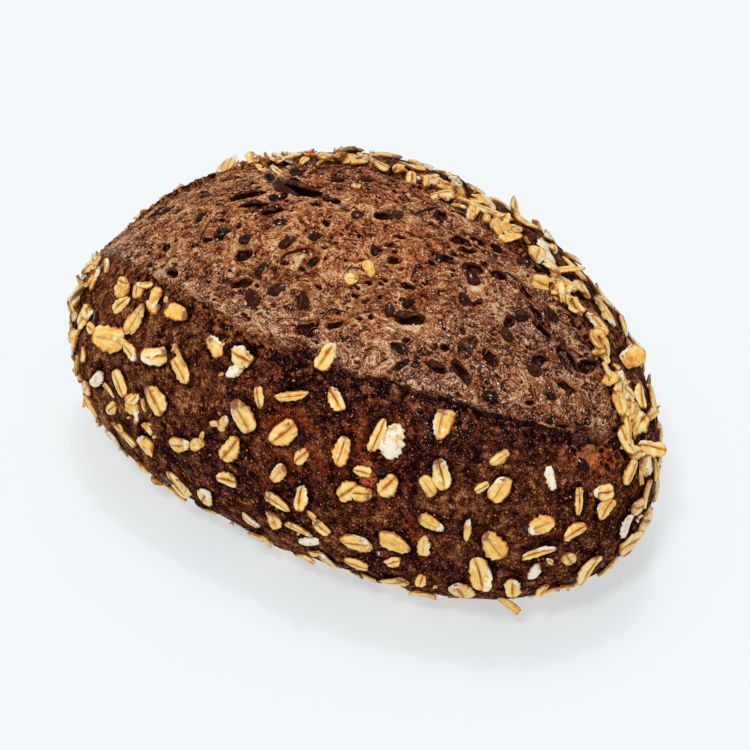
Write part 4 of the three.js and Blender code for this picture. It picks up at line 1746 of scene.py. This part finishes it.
def bit_spots(count, rng):
    """Broken bits of oat at random on the skin, more of them at the -X end."""
    angle = rng.uniform(0, 2 * math.pi, 8 * count)
    latitude = rng.uniform(LOWEST_OAT_LATITUDE, HIGHEST_OAT_LATITUDE, 8 * count)
    place = loaf_point(angle, latitude)
    crowd = np.array([crowding(*each) for each in zip(place, latitude)])
    crowd = crowd + BITS_AT_END * rising(place[:, 0], -60, -85)
    kept = rng.random(8 * count) * 2 * LENGTH * WIDTH < area_at(angle, latitude) * crowd
    kept &= (latitude < 0) | (rim_distance(place[:, 0], place[:, 1]) > BIT_RIM_GAP)
    angle, latitude = angle[kept][:count], latitude[kept][:count]
    length = 1.5 + 6 * rng.random(len(angle)) ** 2
    roundness = rng.uniform(0.3, 0.9, len(angle))
    return oat_rows(angle, latitude, length, roundness, rng, unevenness=0.2)


def rim_spots(count, rng):
    """Oats that crowd the slash's back rim, a few millimetres out, and stand up from it."""
    turn = np.radians(rng.uniform(*RIM_OATS_TURN, count))
    reach = super_radius(turn, SLASH_POWER)
    out = rng.uniform(*RIM_OATS_OUT, count)
    x = SLASH_X + (SLASH_HALF_LENGTH * reach + out) * np.cos(turn)
    y = SLASH_Y + (SLASH_HALF_WIDTH * reach + out) * np.sin(turn)
    length = 3.5 + 5.5 * rng.random(count)
    roundness = rng.uniform(0.45, 0.8, count)
    return oat_rows(*dome_coordinates(x, y), length, roundness, rng, unevenness=0.45)


def end_spots(count, rng):
    """Oats that crowd the loaf's -X end, off the slash, some of them standing off it."""
    angle = END_OATS_ANGLE + rng.normal(0, END_OATS_SPREAD, 2 * count)
    latitude = rng.uniform(*END_OATS_LATITUDE, 2 * count)
    place = loaf_point(angle, latitude)
    kept = rim_distance(place[:, 0], place[:, 1]) > END_OATS_RIM_GAP
    angle, latitude = angle[kept][:count], latitude[kept][:count]
    length = rng.uniform(4.2, 8.2, len(angle))
    roundness = rng.uniform(0.5, 0.8, len(angle))
    return oat_rows(angle, latitude, length, roundness, rng, unevenness=0.42)


def more_spots(count, rng):
    """Smaller whole oats between the solid's own: places by area, off the slash and each at least a
    gap away from every other."""
    taken = list(loaf_point(OATS[:, 0], OATS[:, 1]))
    spots = []
    while len(spots) < count:
        angle = rng.uniform(-math.pi, math.pi)
        latitude = rng.uniform(LOWEST_OAT_LATITUDE, MORE_OATS_LATITUDE)
        place = loaf_point(angle, latitude)
        if rng.random() * LENGTH * WIDTH / 2 > area_at(angle, latitude):
            continue
        if latitude > 0 and rng.random() > crowding(place, latitude):
            continue
        if latitude > 0 and rim_distance(place[0], place[1]) < OAT_RIM_GAP:
            continue
        if np.linalg.norm(np.array(taken) - place, axis=-1).min() < MORE_OATS_GAP:
            continue
        taken.append(place)
        shape = (rng.uniform(0, math.pi), rng.uniform(5, 8), rng.uniform(0.55, 0.8))
        spots.append((angle, latitude, *shape, *rng.normal(0, 0.15, 2)))
    return np.array(spots)


class LOAF_OT_oats(bpy.types.Operator):
    """Make the rolled oats on the skin, whole ones and torn ones"""

    bl_idname = "loaf.oats"
    bl_label = "Oats"

    def execute(self, context):
        sizes = context.scene.loaf_sizes
        thickness = sizes.oat_thickness / MM
        material = oat_finish("oat", context.scene.loaf_colours)
        rng = np.random.default_rng(FLAKE_SEED)
        spots = OATS.copy()
        spots[:, 3] *= OAT_FULLNESS
        spots[:, 4] *= np.where(rng.random(OAT_COUNT) < SPLIT_SHARE, 0.5, 1)
        ragged = raggedness(OAT_COUNT, *OWN_RAGGED, rng)
        flake_piece("oats", spots, thickness, ragged, material)
        bits = bit_spots(sizes.bit_count, rng)
        ragged = raggedness(len(bits), *OTHERS_RAGGED, rng)
        flake_piece("oat_bits", bits, thickness * BIT_THINNESS, ragged, material, BIT)
        drawn = [
            rim_spots(sizes.rim_count, rng),
            end_spots(sizes.end_count, rng),
            more_spots(sizes.more_count, rng),
        ]
        ragged = raggedness(sum(map(len, drawn)), *OTHERS_RAGGED, rng)
        angle, latitude, heading, length, roundness, tilt, torn = NAMED_OATS.T
        places = np.radians([angle, latitude, heading])
        named = np.stack([*places, length, roundness, 0 * tilt, tilt], -1)
        ragged = np.concatenate([ragged, torn])
        flake_piece("rim_oats", np.concatenate([*drawn, named]), thickness, ragged, material)
        return {"FINISHED"}


# ---------------------------------------------------------------- seeds
# Seeds that the photo shows in the crumb: x, y, heading and length.
NAMED_SEEDS = np.array(
    [
        (-13.6, -18.9, 0.3, 6.2),
        (-9.3, -33.4, 1.0, 5.6),
        (3.7, 0.2, 1.6, 5.5),
        (16.4, -12.6, 0.2, 5.4),
        (28.4, -1.4, 0.1, 5.6),
        (39.8, -10.2, 1.5, 5.4),
        (54.6, -10.7, 1.2, 5.6),
        (65.7, -15.6, 1.0, 5.6),
        (26.4, 6.4, -0.1, 5.8),
        (29.2, 12.0, 1.6, 5.2),
        (-20.6, -35.8, 1.5, 5.0),
        (27.6, -20.8, 0.3, 4.6),
    ]
)


def seed_finish(colours):
    """Linseed: nearly black, or red-brown in some, with a soft gloss."""
    make = Finish("seed")
    mottle = make.noise(1.2, detail=3, rough=0.6)
    number = make.mask("number")
    base = make.blend(number.above(0.4, 0.6), colours.seed, colours.seed_red)
    base = make.blend(mottle.above(0.4, 0.8) * 0.4, base, colours.seed_light)
    return make.finish(
        Base_Color=base,
        Roughness=0.25 + mottle * 0.2,
        Specular_IOR_Level=0.04,
        Coat_Weight=mottle.above(0.5, 0.58),
        Coat_Roughness=0.14,
        Coat_Tint=SKIN_COAT_TINT,
        Normal=make.bump(make.noise(0.5, detail=2, rough=0.6), 0.12, 0.6),
    )


SEED_STATIONS = 11
SEED_ROUND = 12
LINSEED_SEED = 81
# Linseeds in the skin: from and to these latitudes, and from and to these lengths.
SKIN_SEED_LATITUDE = (-0.7, 0.75)
SKIN_SEED_LENGTH = (4, 6)
SEED_LEAN = 0.4
# How much higher or lower than half sunk a seed of the crumb lies, in thicknesses.
SEED_LIFT = 0.25


def seed_shapes(length, thickness, rng):
    """Linseeds: flat ovals drawn out to a point at one end. The half width along u is
    sqrt(1 - u^2) times (1 - 0.3 u), and each section is an ellipse."""
    count = len(length)
    even = np.linspace(-1, 1, SEED_STATIONS + 2)[1:-1]
    along = np.sin(math.pi / 2 * even)
    outline = np.sqrt(1 - along**2) * (1 - 0.3 * along)
    turn = np.arange(SEED_ROUND) * 2 * math.pi / SEED_ROUND
    half = length[:, None, None] / 2
    width = half * rng.uniform(0.46, 0.68, (count, 1, 1))
    x = half * along[None, :, None] * np.ones(SEED_ROUND)
    y = width * outline[None, :, None] * np.cos(turn)
    z = thickness / 2 * outline[None, :, None] * np.sin(turn) * np.ones((count, 1, 1))
    return np.stack([x, y, z], -1)


class LOAF_OT_seeds(bpy.types.Operator):
    """Make the dark linseeds in the crumb and the skin"""

    bl_idname = "loaf.seeds"
    bl_label = "Seeds"

    def execute(self, context):
        rng = np.random.default_rng(LINSEED_SEED)
        thickness = context.scene.loaf_sizes.seed_thickness / MM
        away = np.linalg.norm(NAMED_SEEDS[:, None, :2] - SEEDS[None, :, :2], axis=-1).min(1)
        x, y, heading, length = np.concatenate([SEEDS, NAMED_SEEDS[away > SEED_GAP / 2]]).T
        in_crumb = dome_coordinates(x, y)
        more = context.scene.loaf_sizes.skin_seed_count
        on_skin = np.stack(
            [rng.uniform(-math.pi, math.pi, more), rng.uniform(*SKIN_SEED_LATITUDE, more)]
        )
        heading = np.concatenate([heading, rng.uniform(0, math.pi, more)])
        length = np.concatenate([length, rng.uniform(*SKIN_SEED_LENGTH, more)])
        count = len(length)
        origin = np.concatenate([crumb_surface(x, y)[0], skin_surface(*on_skin)[0]])
        angle, latitude = np.concatenate([in_crumb, on_skin], 1)
        shape = seed_shapes(length, thickness, rng)
        axes = surface_axes(angle, latitude, heading)
        leans = rng.uniform(-SEED_LEAN, SEED_LEAN, (2, count))
        for lean, side in zip(leans, (1, 0)):
            axes[:, side], axes[:, 2] = turned(axes[:, side], axes[:, 2], lean[:, None])
        lift = rng.uniform(-SEED_LIFT, SEED_LIFT, count)
        lift = np.where(np.arange(count) < len(x), lift, 0) * thickness
        origin = origin + loaf_normal(angle, latitude) * lift[:, None]
        points = np.einsum("nspi,nij->nspj", shape, axes) + origin[:, None, None]
        number = for_shells(rng.random(count), SEED_STATIONS * SEED_ROUND)
        faces = shell_faces(count, SEED_STATIONS, SEED_ROUND)
        material = seed_finish(context.scene.loaf_colours)
        piece = new_piece("seeds", with_poles(points), faces, material, {"number": number})
        return {"FINISHED"}


# ---------------------------------------------------------------- grains and bran
CHIP_SEED = 91
# How uneven the chips' sizes are, and the largest bran speck in millimetres.
CHIP_SPREAD = 0.45
LARGEST_BRAN = 1.1
GRAIN_RIM_GAP = 1.5
BRAN_RIM_GAP = 0.5
# Faces of a chip, whose six points are two along, two across and two through.
CHIP_FACES = np.array(
    [(0, 2, 4), (2, 1, 4), (1, 3, 4), (3, 0, 4), (2, 0, 5), (1, 2, 5), (3, 1, 5), (0, 3, 5)]
)


def chips(origin, axes, size, flatness, rng):
    """Small eight-sided chips, each drawn."""
    count = len(size)
    stretch = rng.uniform(0.6, 1.5, (count, 3)) * np.array([1.1, 0.7, flatness])
    turn = rng.uniform(0, math.pi, count)[:, None]
    along, across = turned(axes[:, 0], axes[:, 1], turn)
    arms = np.stack([along, across, axes[:, 2]], 1) * (size[:, None] * stretch / 2)[..., None]
    corners = np.stack([arms, -arms], 2).reshape(count, 6, 3)
    corners = corners + rng.normal(0, 0.08, corners.shape) * size[:, None, None]
    faces = CHIP_FACES + 6 * np.arange(count)[:, None, None]
    return (origin[:, None] + corners).reshape(-1, 3), [faces.reshape(-1, 3)]


def chip_piece(name, material, origin, axes, size, rng, flatness, fade):
    """One mesh of chips with a drawn tone each, a power of an even draw."""
    points, faces = chips(origin, axes, size, flatness, rng)
    tone = np.repeat(rng.random(len(size)) ** fade, 6)
    return new_piece(name, points, faces, material, {"tone": tone})


def chip_finish(name, first, second):
    make = Finish(name)
    base = make.blend(make.mask("tone"), first, second)
    return make.finish(Base_Color=base, Roughness=0.5, Specular_IOR_Level=0.15)


class LOAF_OT_grains(bpy.types.Operator):
    """Make the pale grains in the crumb and the bran specks on the skin"""

    bl_idname = "loaf.grains"
    bl_label = "Grains and bran"

    def execute(self, context):
        colours, sizes = context.scene.loaf_colours, context.scene.loaf_sizes
        rng = np.random.default_rng(CHIP_SEED)
        x = SLASH_X + SLASH_HALF_LENGTH * rng.uniform(-1, 1, 2 * sizes.grain_count)
        y = SLASH_Y + SLASH_HALF_WIDTH * rng.uniform(-1, 1, 2 * sizes.grain_count)
        kept = rim_distance(x, y) < -GRAIN_RIM_GAP
        x, y = x[kept][: sizes.grain_count], y[kept][: sizes.grain_count]
        dry = crumb_relief(x, y)[2]["hole"] < 0.3
        x, y = x[dry], y[dry]
        origin, _, _ = crumb_surface(x, y)
        axes = surface_axes(*dome_coordinates(x, y), np.zeros_like(x))
        size = sizes.grain / MM * rng.lognormal(0, CHIP_SPREAD, len(x))
        material = chip_finish("grain", colours.crumb, colours.crumb_pale)
        piece = chip_piece("grains", material, origin, axes, size, rng, flatness=0.6, fade=1.5)

        count = sizes.bran_count
        angle = rng.uniform(0, 2 * math.pi, 4 * count)
        latitude = rng.uniform(-FLAT_LATITUDE * 0.97, HIGHEST_OAT_LATITUDE, 4 * count)
        place = loaf_point(angle, latitude)
        kept = rng.random(4 * count) * LENGTH * WIDTH / 3 < area_at(angle, latitude)
        kept &= (latitude < 0) | (rim_distance(place[:, 0], place[:, 1]) > BRAN_RIM_GAP)
        angle, latitude = angle[kept][:count], latitude[kept][:count]
        origin, _, _ = skin_surface(angle, latitude)
        axes = surface_axes(angle, latitude, np.zeros_like(angle))
        size = sizes.bran / MM * rng.lognormal(0, CHIP_SPREAD, len(angle))
        size = np.minimum(size, LARGEST_BRAN)
        material = chip_finish("bran", colours.amber, colours.bran)
        piece = chip_piece("bran", material, origin, axes, size, rng, flatness=0.35, fade=1)
        return {"FINISHED"}


# ---------------------------------------------------------------- stage
FLOOR_HALF = 3.0
FLOOR_COLOUR = (0.38, 0.399, 0.412)
FLOOR_GLOW = (0.52, 0.544, 0.558)
WORLD_STRENGTH = 0.42
# Name, azimuth from the camera's and elevation in degrees, light on the floor, and softness.
SUNS = (("back", 180, 78, 0.18, 24), ("spark", 172, 78, 0.08, 3), ("front", -20, 58, 0.32, 9))


def direction(azimuth, elevation):
    """Unit vector towards an azimuth, in radians round from -Y to +X, and an elevation."""
    level = math.cos(elevation)
    return np.array([math.sin(azimuth) * level, -math.cos(azimuth) * level, math.sin(elevation)])


def sun(name, azimuth, elevation, floor_light, softness):
    """A sun that shines from an azimuth, in degrees from the camera's, and lights the floor by a
    share of full white."""
    high = math.radians(elevation)
    toward = Vector(direction(AZIMUTH + math.radians(azimuth), high))
    light = bpy.data.lights.new(name, "SUN")
    light.energy = math.pi * floor_light / math.sin(high)
    light.angle = math.radians(softness)
    lamp = bpy.data.objects.new(name, light)
    lamp.location = toward
    lamp.rotation_mode = "QUATERNION"
    lamp.rotation_quaternion = toward.to_track_quat("Z", "Y")
    bpy.context.scene.collection.objects.link(lamp)


class LOAF_OT_stage(bpy.types.Operator):
    """Make the pale floor, the soft light and the camera"""

    bl_idname = "loaf.stage"
    bl_label = "Stage"

    def execute(self, context):
        scene = context.scene
        mesh = bpy.data.meshes.new("floor")
        sides = ((-1, -1), (1, -1), (1, 1), (-1, 1))
        corners = [(x * FLOOR_HALF, y * FLOOR_HALF, 0) for x, y in sides]
        mesh.from_pydata(corners, [], [(0, 1, 2, 3)])
        make = Finish("floor")
        mesh.materials.append(
            make.finish(
                Base_Color=FLOOR_COLOUR,
                Emission_Color=FLOOR_GLOW,
                Emission_Strength=1.0,
                Roughness=1.0,
                Specular_IOR_Level=0.0,
            )
        )
        floor = bpy.data.objects.new("floor", mesh)
        scene.collection.objects.link(floor)

        world = bpy.data.worlds.new("studio")
        world.use_nodes = True
        ground = world.node_tree.nodes["Background"]
        ground.inputs["Color"].default_value = (1, 1, 1, 1)
        ground.inputs["Strength"].default_value = WORLD_STRENGTH
        scene.world = world
        for row in SUNS:
            sun(*row)

        back = direction(AZIMUTH, ELEVATION)
        right = np.array([math.cos(AZIMUTH), math.sin(AZIMUTH), 0])
        aim = AIM + AIM_RIGHT * right - AIM_DOWN * np.cross(back, right)
        data = bpy.data.cameras.new("camera")
        data.sensor_width = SENSOR
        data.lens = FOCAL_PIXELS / IMAGE * SENSOR
        camera = bpy.data.objects.new("camera", data)
        camera.location = (aim + back * DISTANCE) * MM
        camera.rotation_mode = "QUATERNION"
        camera.rotation_quaternion = Vector(-back).to_track_quat("-Z", "Y")
        scene.collection.objects.link(camera)
        scene.camera = camera
        scene.view_settings.view_transform = "Standard"
        return {"FINISHED"}


# ---------------------------------------------------------------- panel and registration
PIECES = (
    LOAF_OT_skin,
    LOAF_OT_crumb,
    LOAF_OT_films,
    LOAF_OT_oats,
    LOAF_OT_seeds,
    LOAF_OT_grains,
    LOAF_OT_stage,
)


class LOAF_PT_panel(bpy.types.Panel):
    """Lists the loaf's sizes, colours and pieces"""

    bl_idname = "LOAF_PT_panel"
    bl_label = "Loaf"
    bl_space_type = "VIEW_3D"
    bl_region_type = "UI"
    bl_category = "Loaf"

    def draw(self, context):
        for group in (context.scene.loaf_sizes, context.scene.loaf_colours):
            for key in group.bl_rna.properties.keys():
                if key not in ("rna_type", "name"):
                    self.layout.prop(group, key)
        for piece in PIECES:
            self.layout.operator(piece.bl_idname)


CLASSES = (LoafSizes, LoafColours, *PIECES, LOAF_PT_panel)


def register():
    for item in CLASSES:
        bpy.utils.register_class(item)
    bpy.types.Scene.loaf_sizes = PointerProperty(type=LoafSizes)
    bpy.types.Scene.loaf_colours = PointerProperty(type=LoafColours)


def unregister():
    del bpy.types.Scene.loaf_colours
    del bpy.types.Scene.loaf_sizes
    for item in reversed(CLASSES):
        bpy.utils.unregister_class(item)


def main():
    register()
    bpy.ops.loaf.skin()
    bpy.ops.loaf.crumb()
    bpy.ops.loaf.films()
    bpy.ops.loaf.oats()
    bpy.ops.loaf.seeds()
    bpy.ops.loaf.grains()
    bpy.ops.loaf.stage()


if __name__ == "__main__":
    main()
